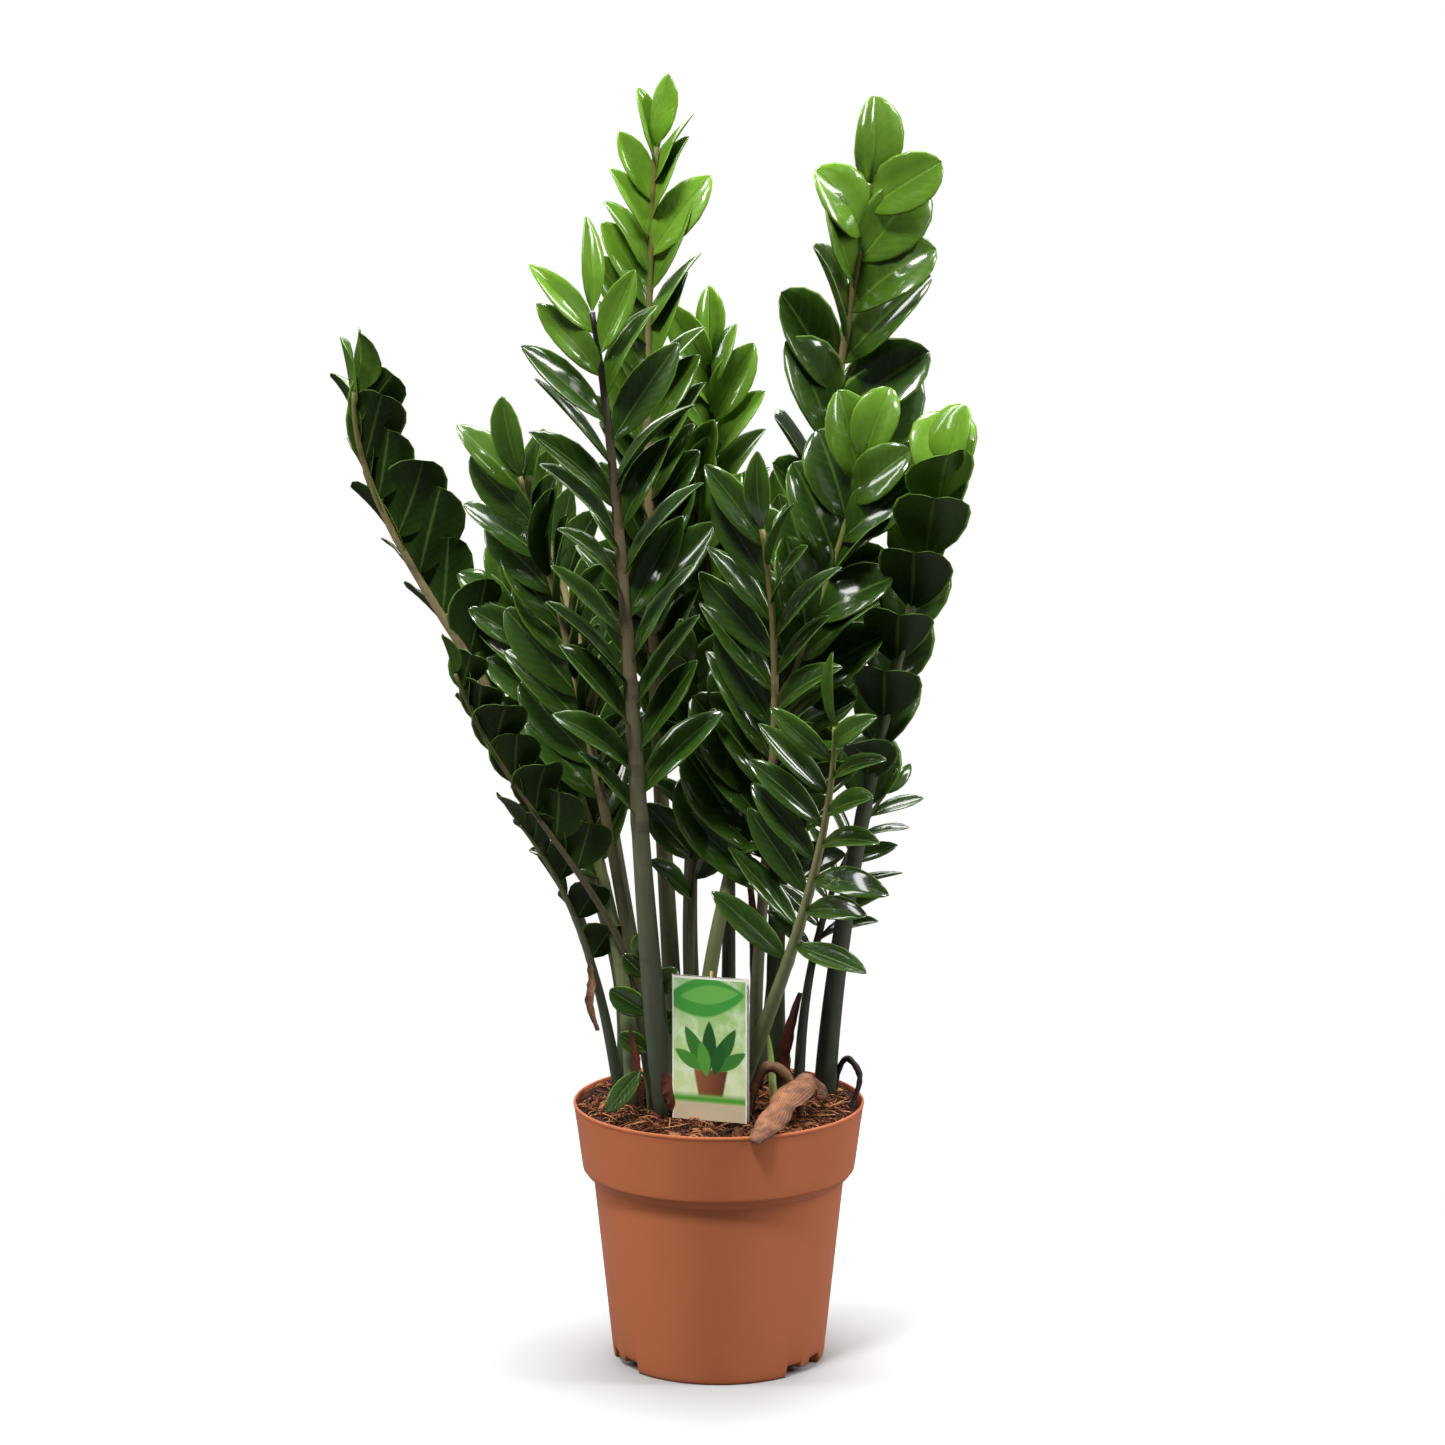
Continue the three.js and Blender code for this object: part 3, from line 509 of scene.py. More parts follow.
leaf_wax = leaf_finish()
stalk_skin = stalk_finish()
pot_plastic = pot_finish()
soil_crumb = scrap_finish("soil_crumb", 0.8, 220.0, 0.003)
fibre_straw = scrap_finish("fibre_straw", 0.65, 400.0, 0.0006)
dead_wood = scrap_finish("dead_wood", 0.6, 260.0, 0.002)
dry_leaf = dried_finish()
printed_card = card_finish()
bamboo_wood = bamboo_finish()


# ---------------------------------------------------------------- pot
def pot_profile():
    """The pot's outline as radius and height, and which of its points are on the inside.

    It starts in the middle of the underside, goes out to the rounded foot, up the straight wall, round the
    band's underside, up the band, over the rolled lip, down inside and back to the middle of the floor.
    """
    foot_radius, base = POT["foot_radius"], POT["base"]
    deep = foot_radius - NOTCH["depth"]
    from_foot = [(-8, 0), (-2.6, 0), (-1.2, 0.5), (-0.3, 1.8), (0.1, 3.6)]
    foot = [(2, 0), (40, 0), (deep - 6, 0), (deep - 0.6, 0), (deep, 0), (deep + 3, 0)]
    foot += [(foot_radius + out, up) for out, up in from_foot]
    slope = (POT["step_radius"] - foot_radius) / POT["step_height"]
    wall = [(foot_radius + slope * z, z) for z in (8, 14, 18, 40, 75, 110, 145, 162, 166)]
    from_band_foot = [(-10, -10.5), (-9.3, -7), (-7.9, -3.4), (-5.7, -1), (-2.9, 0.3), (-0.9, 0.9),
                      (-0.1, 1.8), (0.3, 3.5), (0.7, 6), (2.1, 16), (4.5, 35), (6.8, 52), (7.8, 60.4)]
    band = [(POT["band_radius"] + out, POT["band_foot"] + up) for out, up in from_band_foot]
    from_lip = [(-0.5, -3.8), (0, -3.1), (0.2, -2), (0.1, -0.9), (-0.5, -0.2), (-1.2, 0), (-1.9, -0.3),
                (-2.4, -1.2), (-2.7, -4)]
    lip = [(POT["lip_radius"] + out, POT["height"] + up) for out, up in from_lip]
    hollow = [(130.9, 232), (126.5, 196), (124.5, 181), (123.6, 178), (116.6, 172), (114.2, 169), (105, 90),
              (98.2, 20), (97, 8), (96.6, base + 1), (94, base), (deep + 1, base), (deep - 2, base),
              (deep - 2.8, base), (40, base), (2, base)]
    profile = np.array(foot + wall + band + lip + hollow, float)
    inside = np.arange(len(profile)) >= len(profile) - len(hollow)
    return profile, inside


def pot_piece():
    """The pot, turned from its profile, with its foot notches and their drain holes.

    In each notch the underside and the pot's floor over it are lifted: height = lifted height + what is left
    of the low part of the wall, squeezed. A notch runs between two angles and inwards to its depth, its sides
    slope over half a degree, and a rib near its middle is lifted only part of the way.
    """
    profile, inside = pot_profile()
    deep = POT["foot_radius"] - NOTCH["depth"]
    step = 0.5
    apart = 360 / NOTCH["count"]
    angle = np.arange(-180, 180, step)
    from_notch = (angle[None] - NOTCH["first"] + apart / 2) % apart - apart / 2
    in_notch = np.clip((NOTCH["span"] / 2 + step / 2 - np.abs(from_notch)) / step, 0, 1)
    on_rib = np.clip((NOTCH["rib_half"] + step / 2 - np.abs(from_notch - NOTCH["rib_at"])) / step, 0, 1)
    radius = profile[:, :1]
    height = profile[:, 1:] + 0 * angle
    low = np.where(inside, POT["base"], 0.0)[:, None]
    lifted = np.where(inside, NOTCH["roof"], NOTCH["height"])[:, None]
    top = NOTCH["fades_at"]
    squeeze = lifted + (height - low) * (top - lifted) / (top - low)
    starts = np.where(inside, deep - 2.4, deep - 0.3)[:, None]
    rib = on_rib * NOTCH["rib_share"] * (radius > deep + 2)
    affected = in_notch * (radius > starts) * (height < top) * (1 - rib)
    height = height + (squeeze - height) * affected
    turn = np.radians(angle)
    rings = np.stack([radius * np.cos(turn), radius * np.sin(turn), height], axis=-1)
    pot = new_piece("pot_shell", rings[None], pot_plastic, "pot_plastic", ["pot"])
    drill_drains(pot, deep + 8)


def drill_drains(pot, reach):
    """A round hole through the roof of each foot notch, cut with upright rods that are then thrown away.

    The rods stand at the notches' angles, all at the same reach from the pot's middle.
    """
    turn = np.radians(NOTCH["first"] + 360 / NOTCH["count"] * np.arange(NOTCH["count"]))[:, None]
    heights = np.array([[7.0, 16.0]])
    lines = np.stack([reach * np.cos(turn) + 0 * heights, reach * np.sin(turn) + 0 * heights,
                      heights + 0 * turn], axis=-1)
    radii = np.full((NOTCH["count"], 2), NOTCH["hole"])
    points, quads, fans = skins(tube_rings(lines, radii, 24))
    drill = bpy.data.meshes.new("drill")
    drill.from_pydata((points * MM).tolist(), [], quads.tolist() + fans.tolist())
    drill.materials.append(pot_plastic)
    rods = bpy.data.objects.new("drill", drill)
    bpy.context.scene.collection.objects.link(rods)
    cut = pot.modifiers.new("drain", "BOOLEAN")
    cut.object = rods
    cut.solver = "MANIFOLD"
    bpy.context.view_layer.update()
    whole = bpy.data.meshes.new_from_object(pot.evaluated_get(bpy.context.evaluated_depsgraph_get()))
    pot.modifiers.clear()
    pot.data = whole
    bpy.data.objects.remove(rods)


# ---------------------------------------------------------------- soil
def soil_height(x, y):
    """The soil's surface: a low mound tilted up to the back, with broad lumps of crossed waves."""
    r = np.hypot(x, y) / POT["lip_radius"]
    lumps = np.sin(0.11 * x + 1.3) * np.cos(0.13 * y) + 0.6 * np.sin(0.21 * x - 0.17 * y)
    return SOIL["edge"] + SOIL["mound"] * (1 - r * r) + SOIL["tilt"] * y + SOIL["lump"] * lumps


def crumbs(x, y):
    """Small crumbs of the mix: a sum of crossed waves of many lengths, each folded up, about 2 mm high."""
    total = 0
    for wave_length, turn, size in [(23, 0.4, 0.9), (17, 2.0, 0.8), (11, 1.1, 0.7),
                                    (8, 2.7, 0.6), (5.5, 0.2, 0.5), (4.6, 1.7, 0.4)]:
        k = 2 * math.pi / wave_length
        u = x * math.cos(turn) + y * math.sin(turn)
        v = y * math.cos(turn) - x * math.sin(turn)
        wave = np.sin(k * u + 1.7 * np.sin(0.6 * k * v)) * np.cos(0.8 * k * v + turn)
        total = total + size * np.abs(wave)
    return total


def on_soil(x, y):
    """Points on the crumbly surface, whose crumbs are sunk a little into the mound."""
    return np.stack([x, y, soil_height(x, y) + crumbs(x, y) - SOIL["sunk"]], axis=-1)


def soil_piece():
    """The body of the mix: rings up the inside of the pot, then inwards over the crumbly surface."""
    turn = np.linspace(0, 2 * math.pi, 200, endpoint=False)
    walls = [(90, 13.5), (95.2, 14), (113, 171), (123, 181), (128, 215)]
    shelves = [129.3, *np.linspace(127.5, 3, 64)]
    rings = [np.stack([r * np.cos(turn), r * np.sin(turn), np.full_like(turn, z)], axis=-1) for r, z in walls]
    rings += [on_soil(r * np.cos(turn), r * np.sin(turn)) for r in shelves]
    rings = np.array(rings)[None]
    tint = 0.7 + 0.5 * rng.random(rings.shape[:3])[..., None]
    tone = np.array(paint(46, 27, 20)) * np.concatenate([tint, tint, tint, np.ones_like(tint)], axis=-1)
    new_piece("soil_mix", rings, soil_crumb, "potting_soil", ["soil"], tone=tone)


def strewn(count, edge):
    """Random spots inside the pot's mouth, with their surface height."""
    r = edge * np.sqrt(rng.random(count))
    turn = 2 * math.pi * rng.random(count)
    return on_soil(r * np.cos(turn), r * np.sin(turn))


BROWNS = np.array([paint(94, 50, 32), paint(152, 92, 56), paint(72, 38, 26), paint(190, 132, 84),
                   paint(58, 32, 24)])


def any_brown(count):
    """A random one of the browns for each of many scraps, shape (count, 1, 1, 4)."""
    return BROWNS[rng.integers(0, len(BROWNS), count)][:, None, None]


def fibre_piece():
    """Coir strands: flat arcs on the surface, arched a little at random, each a three-sided tube."""
    count = 1900
    rows = 6
    centre = strewn(count, 124)
    heading = 2 * math.pi * rng.random(count)
    length = 9 + 37 * rng.random(count) ** 1.4
    curve = rng.normal(0, 1.0, count)
    along = np.linspace(-0.5, 0.5, rows)
    turning = heading[:, None] + curve[:, None] * along
    x = centre[:, :1] + length[:, None] * along * np.cos(turning)
    y = centre[:, 1:2] + length[:, None] * along * np.sin(turning)
    fit = np.minimum(1.0, 129.0 / np.maximum(np.hypot(x, y), 1))
    x = x * fit
    y = y * fit
    arch = rng.uniform(-0.5, 4.5, count)[:, None] * (1 - (2 * along) ** 2)
    z = soil_height(x, y) + crumbs(x, y) * 0.7 - 0.6 + arch + rng.uniform(0, 1.2, count)[:, None]
    line = np.stack([x, y, z], axis=-1)
    radii = rng.uniform(0.26, 0.75, count)[:, None] * np.array([0.5, 1, 1, 1, 0.9, 0.4])
    rings = tube_rings(line, radii, 3)
    new_piece("soil_fibres", rings, fibre_straw, "potting_soil", tone=tones(any_brown(count), rings))


def chip_piece():
    """Bark chips: four-sided slabs, bent down at both ends, each turned and tipped at random."""
    count = 420
    centre = strewn(count, 122)
    heading = 2 * math.pi * rng.random(count)
    size = rng.uniform(4, 13, count)[:, None]
    direction = np.stack([np.cos(heading), np.sin(heading), rng.normal(0, 0.35, count)], axis=-1)
    side = unit(np.cross(direction, [0, 0, 1.0]) + rng.normal(0, 0.2, (count, 3)))
    up = unit(np.cross(side, direction))
    along = np.array([-1, -0.4, 0.4, 1.0])[None, :, None]
    middle = centre[:, None] + size[:, None] * (along * direction[:, None] - 0.15 * along ** 2 * up[:, None])
    taper = np.array([0.6, 1, 0.9, 0.5])[None, :, None]
    half = size[:, None] * rng.uniform(0.2, 0.5, count)[:, None, None] * taper
    thick = rng.uniform(0.5, 1.4, count)[:, None, None]
    corner = [(-1, -1), (1, -1), (0.9, 1), (-0.9, 1)]
    sides = [middle + a * half * side[:, None] + b * thick * up[:, None] for a, b in corner]
    rings = np.stack(sides, axis=2)
    new_piece("soil_chips", rings, fibre_straw, "potting_soil", tone=tones(any_brown(count) * 0.8, rings))


# ---------------------------------------------------------------- fronds
def stalk_points(route, t):
    """Points of a stalk at t from 0 to 1: the cubic curve through the route's four points at thirds."""
    foot, low, high, tip = np.array(route, float)
    first = (-5 * foot + 18 * low - 9 * high + 2 * tip) / 6
    second = (2 * foot - 9 * low + 18 * high - 5 * tip) / 6
    t = np.asarray(t, float)[..., None]
    return (1 - t) ** 3 * foot + 3 * (1 - t) ** 2 * t * first + 3 * (1 - t) * t ** 2 * second + t ** 3 * tip


def stalk_directions(route, t):
    """Unit directions of a stalk at t: the chord between two points just before and after."""
    step = 0.01
    return unit(stalk_points(route, np.minimum(t + step, 1)) - stalk_points(route, np.maximum(t - step, 0)))


def stalk_radii(frond, t):
    """A stalk's radius at t: from foot to top by (1 - t)^1.2."""
    return frond["top"] + (frond["foot"] - frond["top"]) * (1 - t) ** 1.2


def wobble(frond, leaf, salt):
    """A repeatable number from -1 to 1 for each leaflet of a frond."""
    wave = np.sin(frond * 78.233 + leaf * 12.9898 + salt * 37.719) * 43758.5453
    return 2 * (wave - np.floor(wave)) - 1


def stalk_piece(frond, number):
    """The stalk: slightly oval rings along the route, a small swelling at each leaflet, a buried foot."""
    route = frond["route"]
    t = np.linspace(0, 1, 54)
    root = stalk_points(route, 0.0) - stalk_directions(route, np.array(0.0)) * BURIED
    line = np.concatenate([[root], stalk_points(route, t)])
    joints = frond["begin"] + (1 - frond["begin"]) * np.linspace(0, 1, frond["leaves"])
    swell = 1 + 0.1 * np.exp(-((t[:, None] - joints) / 0.006) ** 2).sum(axis=1).clip(0, 1)
    radii = np.concatenate([[frond["foot"] * 0.95], stalk_radii(frond, t) * swell])
    turn = np.linspace(0, 2 * math.pi, 18, endpoint=False)
    ovals = 1 + 0.06 * np.cos(2 * turn + number)
    rings = tube_rings(line, radii, len(turn), ovals)[None]
    stops = np.array(STALK_COLOURS[frond["stalk"]])
    share = np.concatenate([[0], t])
    tone = np.stack([np.interp(share, [0.05, 0.35, 0.7, 0.9], stops[:, c]) for c in range(4)], axis=-1)
    new_piece(f"frond_{number:02d}_stalk", rings, stalk_skin, "frond", [f"frond_{number:02d}"],
              tone=tones(tone[:, None], rings))


def leaflet_frames(frond, number):
    """Where each leaflet starts, its axes and its size.

    The leaflets sit left and right of the stalk in turn. Each leans from the stalk's direction by the spread,
    folds up by the lift, and turns about its own axis by the roll, which fades towards the tip. The last one
    carries straight on.
    """
    count = frond["leaves"]
    i = np.arange(count)
    share = i / (count - 1)
    t = frond["begin"] + (1 - frond["begin"]) * share
    along = stalk_directions(frond["route"], t)
    face = math.radians(frond["face"])
    look = np.array([math.cos(face), math.sin(face), 0.0])
    upper = unit(look - (along @ look)[:, None] * along)
    across = np.cross(along, upper) * np.where(i % 2, 1, -1)[:, None]
    ending = i == count - 1
    low, high = frond["spread"]
    angle = np.radians(np.where(ending, 6, low + (high - low) * share + 8 * wobble(number, i, 1)))[:, None]
    lift = np.radians(frond["lift"] + 15 * wobble(number, i, 2))[:, None]
    fading = 1 - 0.8 * math.cos(math.radians(frond["roll"])) * share ** 4
    roll = np.radians(frond["roll"] * fading + 20 * wobble(number, i, 3))[:, None]
    outwards = across * np.cos(lift) + upper * np.sin(lift)
    axis = unit(along * np.cos(angle) + outwards * np.sin(angle))
    ahead = np.where(ending[:, None], across, along)
    flat = unit(ahead - np.sum(ahead * axis, axis=1, keepdims=True) * axis)
    normal = np.cross(axis, flat)
    normal = normal * np.sign(np.sum(normal * upper, axis=1, keepdims=True))
    top = normal * np.cos(roll) + flat * np.sin(roll)
    size = (1 - 0.15 * (2 * share - 0.7) ** 2) * (1 + 0.1 * wobble(number, i, 4))
    length, width = frond["blade"]
    return dict(base=stalk_points(frond["route"], t), axis=axis, top=top, share=share,
                length=length * size, width=width * size, start=stalk_radii(frond, t) * 0.5,
                blunt=np.full(count, frond["blunt"]), key=number * 100.0 + i)


LEAF_ROWS = 10
LEAF_HALF_THICK = 0.45
BEND_MEAN = 0.4  # in radians over a blade's length
LEVEL_AT = 0.35  # the share of a blade's length at which it lies along its axis
# A leaflet's ring: across the underside, then back over the upper side.
RING_ACROSS = np.array([-1, -0.9, -0.5, 0, 0.5, 0.9, 1, 0.9, 0.5, 0, -0.5, -0.9])
RING_UNDER = np.array([0.5, 1, 1, 1, 1, 1, 0.5, 0, 0, 0, 0, 0])


def leaflet_outline(leaf, v):
    """Half width at v along the blade = widest * v^a (1 - v)^b, scaled to 1 at its peak, or the short stub's.

    A blunt leaflet has small powers.
    """
    heel = (0.85 - 0.2 * leaf["blunt"])[:, None]
    tip = (0.85 - 0.4 * leaf["blunt"])[:, None]
    peak = heel / (heel + tip)
    half = v ** heel * (1 - v) ** tip / (peak ** heel * (1 - peak) ** tip)
    stub = 1.3 * (1 - v) ** 3 + 0.12
    return np.maximum(half * 0.5 * leaf["width"][:, None], stub)


def leaflet_spine(leaf, v):
    """The blade's middle line, and its sideways and upward directions, each of shape (leaflets, rows, 3).

    The line is an arc that turns back by the bend over its length, in line with the leaflet's axis about a
    third of the way up. The directions turn with the arc, then twist about it, more towards the tip.
    """
    key = leaf["key"]
    bend = BEND_MEAN + 0.4 * wobble(key, 1, 5)
    bend = np.where(np.abs(bend) < 0.05, 0.05, bend)[:, None]
    lean = bend * (v - LEVEL_AT)
    first = bend * LEVEL_AT
    start = leaf["start"][:, None]
    reach = leaf["length"][:, None] - start
    forward = start + reach * (np.sin(lean) + np.sin(first)) / bend
    back = reach * (np.cos(lean) - np.cos(first)) / bend
    axis = leaf["axis"][:, None]
    top = leaf["top"][:, None]
    wide = np.cross(top, axis)
    line = leaf["base"][:, None] + forward[..., None] * axis + back[..., None] * top
    over = top * np.cos(lean)[..., None] + axis * np.sin(lean)[..., None]
    twist = ((0.5 * wobble(key, 2, 6))[:, None] * v)[..., None]
    side = wide * np.cos(twist) + over * np.sin(twist)
    over = over * np.cos(twist) - wide * np.sin(twist)
    return line, side, over


def leaflet_rings(leaf):
    """Rings of every leaflet, shape (leaflets, rows, around, 3), and where each point is across and along it.

    A ring's point = middle line + side * half width * u + up * height. The height is a fold that lifts both
    halves, a wave of the margin, half the thickness up or down, and a rib that hangs under the middle.
    """
    v = (0.5 - 0.5 * np.cos(math.pi * np.linspace(0, 1, LEAF_ROWS)))[None, :]
    half = leaflet_outline(leaf, v)[..., None]
    line, side, over = leaflet_spine(leaf, v)
    key = leaf["key"][:, None, None]
    along = v[..., None]
    u = RING_ACROSS[None, None, :]
    far = np.abs(u)
    fold = 0.38 + 0.14 * wobble(key, 3, 7)
    wave = 0.07 * wobble(key, 4, 8) * np.sin(2 * math.pi * (1.6 * along + key * 0.37))
    rise = half * (fold * (1.7 * far - 0.9 * far ** 2) + wave * far ** 2 * np.sign(u))
    below = RING_UNDER > 0.9
    above = RING_UNDER < 0.1
    rib = np.where(far < 0.1, 0.9 * (1 - along) ** 1.5 + 0.1, 0.0)
    layer = LEAF_HALF_THICK * np.where(below, -1.0, np.where(above, 1.0, 0.0)) - rib * (below + 0.35 * above)
    offset = rise + layer * np.minimum(1.0, half / 2.5)
    rings = line[:, :, None] + side[:, :, None] * (half * u)[..., None] + over[:, :, None] * offset[..., None]
    return rings, np.broadcast_to(u, rings.shape[:3]), np.broadcast_to(along, rings.shape[:3])


def leaflets_piece(name, leaf, youth, nodes):
    """All leaflets of one frond as one mesh, each coloured by its youth and a little at random; the young
    colour is partly painted glow of light through the thin blades.
    """
    rings, across, along = leaflet_rings(leaf)
    key = leaf["key"]
    youth = np.clip(youth + 0.1 * wobble(key, 5, 9) * (youth > 0.05), 0, 1)[:, None]
    tone = np.array(LEAF_OLD) * (1 - youth) + np.array(LEAF_YOUNG_WITH_GLOW) * youth
    tone[:, :3] *= 1 + 0.22 * wobble(key, 6, 10)[:, None]
    under = np.broadcast_to(RING_UNDER, rings.shape[:3])
    new_piece(name, rings, leaf_wax, "frond", nodes, across=across, along=along, under=under,
              tone=tones(tone[:, None, None], rings))


def frond_pieces():
    """Each frond's stalk and leaflets, whose youth grows evenly over its reach up to the tip."""
    for number, frond in enumerate(FRONDS, start=1):
        stalk_piece(frond, number)
        leaf = leaflet_frames(frond, number)
        youth = frond["young"] * np.clip((leaf["share"] - 1 + frond["reach"]) / frond["reach"], 0, 1)
        leaflets_piece(f"frond_{number:02d}_leaflets", leaf, youth, [f"frond_{number:02d}"])


def low_leaf_pieces():
    """The young leaflet that droops over the soil, and its thin stem."""
    axis = unit(np.array([[-0.56, -0.62, -0.55]]))
    wide = unit(np.cross(axis, [0.2, -0.7, 0.7]))
    leaf = dict(base=np.array([[-72.0, -50, 285]]), axis=axis, top=np.cross(wide, axis),
                length=np.array([54.0]), width=np.array([20.0]), start=np.array([0.0]),
                blunt=np.array([0.5]), key=np.array([4001.0]))
    leaflets_piece("low_leaf_blade", leaf, np.array([0.08]), ["low_leaf"])
    line = smooth_line([(-64, -38, 228), (-65, -42, 258), (-68, -46, 279), (-73, -51, 284)], 16)
    rings = tube_rings(line, np.linspace(1.9, 1.1, 16), 10)[None]
    new_piece("low_leaf_stem", rings, stalk_skin, "frond", ["low_leaf"],
              tone=tones(paint(84, 96, 60), rings))


# ---------------------------------------------------------------- dried and small pieces
def strip_rings(line, width, curl, thick, up, begin=0.06, ruffle=0.0):
    """A thin curled strip: a gutter section, depth = curl * half width * u^2, carried along a smooth line.

    Half width = widest * (0.12 + 0.88 sin^0.8) over a half wave that starts at begin, and the margin ruffles.
    u goes from -1 to 1 across the underside and back over the upper side.
    """
    share = np.linspace(0, 1, 40)
    line = smooth_line(line, len(share))
    along = unit(np.gradient(line, axis=0))
    up = np.array(up, float)
    lifted = unit(up - (along @ up)[:, None] * along)
    side = np.cross(lifted, along)
    half = 0.5 * width * (0.12 + 0.88 * np.sin(math.pi * (begin + (0.96 - begin) * share)) ** 0.8)
    half = half * (1 + 0.08 * np.sin(share * 23) + 0.05 * np.sin(share * 51 + 1))
    once = np.linspace(-1, 1, 9)
    u = np.concatenate([once, once[::-1]])
    layer = np.concatenate([0 * once - 0.5, 0 * once + 0.5]) * thick
    depth = curl * half[:, None] * u ** 2 + layer
    depth = depth + ruffle * np.abs(u) ** 3 * np.sin(share[:, None] * 29 + u * 2)
    sideways = side[:, None] * (half[:, None] * u)[..., None]
    rings = (line[:, None] + sideways + lifted[:, None] * depth[..., None])[None]
    return rings, np.broadcast_to(u, rings.shape[:3]), np.broadcast_to(share[:, None], rings.shape[:3])


STRIPS = {
    "dried_leaf": dict(line=[(98, -42, 268), (80, -60, 279), (60, -90, 270), (46, -116, 256),
                             (37, -131, 249.2), (31, -140, 243)],
                       width=30, curl=-0.4, thick=1.0, up=(-0.3, -0.8, 1), begin=0.3, ruffle=1.8),
    "sheath_front": dict(line=[(-33, -58, 236), (-36, -61, 256), (-42, -60, 272), (-52, -58, 286)],
                         width=20, curl=-0.5, thick=0.8, up=(0.4, -1, 0), ruffle=0.8),
    "sheath_right": dict(line=[(68, 8, 238), (62, 10, 275), (66, 12, 305), (76, 14, 343)],
                         width=12, curl=-0.5, thick=0.8, up=(0.3, -1, 0), ruffle=0.8),
    "sheath_middle": dict(line=[(36, 46, 240), (34, 44, 320), (33, 42, 400), (27, 40, 462)],
                          width=9, curl=-0.4, thick=0.8, up=(0.2, -1, 0), ruffle=0.6),
    "sheath_left": dict(line=[(-112, 2, 310), (-119, 4, 335), (-117, 6, 355), (-120, 8, 375)],
                        width=9, curl=0.4, thick=0.8, up=(-0.6, -1, 0), ruffle=0.6),
    "sheath_inner": dict(line=[(-70, -26, 240), (-75, -32, 270), (-77, -34, 295), (-82, -34, 322)],
                         width=8, curl=-0.4, thick=0.8, up=(-0.2, -1, 0), ruffle=0.6),
}
SHEATH_COLOUR = paint(146, 78, 50)
PALE_STRIPS = {"dried_leaf": paint(222, 156, 112), "sheath_left": paint(196, 150, 108)}


def strip_pieces():
    """The dried leaf over the rim and the papery sheaths between the stalks."""
    for name, strip in STRIPS.items():
        rings, across, along = strip_rings(**strip)
        new_piece(f"{name}_skin", rings, dry_leaf, "dried_plant", [name], across=across, along=along,
                  tone=tones(PALE_STRIPS.get(name, SHEATH_COLOUR), rings))


def withered_piece(name, line, radius, colour):
    """A withered stalk: a tube with knuckles of two crossed waves and flutes, thinning to its ends."""
    share = np.linspace(0, 1, 36)
    knuckles = 1 + 0.08 * np.sin(share * 34) + 0.06 * np.sin(share * 61)
    radii = radius * (0.6 + 0.4 * np.sin(math.pi * share)) * knuckles
    turn = np.linspace(0, 2 * math.pi, 12, endpoint=False)
    flutes = 1 + 0.12 * np.sin(3 * turn + 1) + 0.06 * np.sin(5 * turn)
    rings = tube_rings(smooth_line(line, len(share)), radii, len(turn), flutes)[None]
    new_piece(f"{name}_bark", rings, dead_wood, "dried_plant", [name], tone=tones(colour, rings))


def small_pieces():
    """The two withered stalks, an arch and a loop, and the young shoot: a smooth spike, paler at its foot."""
    arch = [(28, -44, 228), (31, -44, 262), (42, -46, 286), (58, -48, 284), (72, -50, 262), (76, -50, 228)]
    withered_piece("dead_stalk_arch", arch, 5.0, paint(112, 82, 58))
    loop = [(109, 40, 230), (112, 36, 262), (120, 26, 277), (130, 8, 270), (130, -6, 258), (118, -14, 232)]
    withered_piece("dead_stalk_loop", loop, 2.9, paint(48, 32, 26))
    share = np.linspace(0, 1, 24)
    line = smooth_line([(52, -6, 232), (50, -6, 262), (48, -6, 290), (44, -6, 318)], len(share))
    rings = tube_rings(line, 3.3 * (1 - share ** 3) + 0.3, 12)[None]
    foot = np.array(paint(176, 190, 120))
    tip = np.array(paint(116, 150, 60))
    tone = foot + (tip - foot) * share[:, None]
    new_piece("young_shoot_spike", rings, stalk_skin, "young_shoot", ["young_shoot"],
              tone=tones(tone[:, None], rings))


# ---------------------------------------------------------------- label
def card_section():
    """The folded card's section: along the front from its right edge, round the fold and back behind it.

    The outer line comes first, then the inner one, a paper's thickness inside it, in the other direction.
    """
    width, paper, fold = CARD["width"], CARD["paper"], CARD["fold"]
    middle = fold / 2
    back = width + 0.8
    bow = np.linspace(-math.pi / 2, -3 * math.pi / 2, 9)
    outer = [(x, 0.0) for x in np.linspace(width, middle, 12)]
    outer += [(middle + middle * math.cos(a), middle + middle * math.sin(a)) for a in bow]
    outer += [(x, fold) for x in np.linspace(middle, back, 12)[1:]]
    inside = middle - paper
    inner = [(x, fold - paper) for x in np.linspace(back, middle, 12)[:-1]]
    inner += [(middle + inside * math.cos(a), middle + inside * math.sin(a)) for a in bow[::-1]]
    inner += [(x, paper) for x in np.linspace(middle, width, 12)]
    return np.array(outer + inner)[::-1]


def card_piece():
    """The card: its folded section carried straight up, turned a little about its left front edge."""
    section = card_section()
    z = np.linspace(0, CARD["height"], 24)[:, None]
    x = np.broadcast_to(section[:, 0], (len(z), len(section)))
    y = np.broadcast_to(section[:, 1], x.shape)
    turn = math.radians(CARD["turn"])
    corner = CARD["corner"]
    rings = np.stack([corner[0] + x * math.cos(turn) - y * math.sin(turn),
                      corner[1] + x * math.sin(turn) + y * math.cos(turn),
                      corner[2] + np.broadcast_to(z, x.shape)], axis=-1)[None]
    front = (y < 0.1).astype(float)[None]
    up = np.broadcast_to(z / CARD["height"], x.shape)[None]
    card = new_piece("label_card_print", rings, printed_card, "label_card", ["label_card"],
                     across=(x / CARD["width"])[None], along=up, front=front)
    card.data.polygons.foreach_set("use_smooth", np.zeros(len(card.data.polygons), bool))


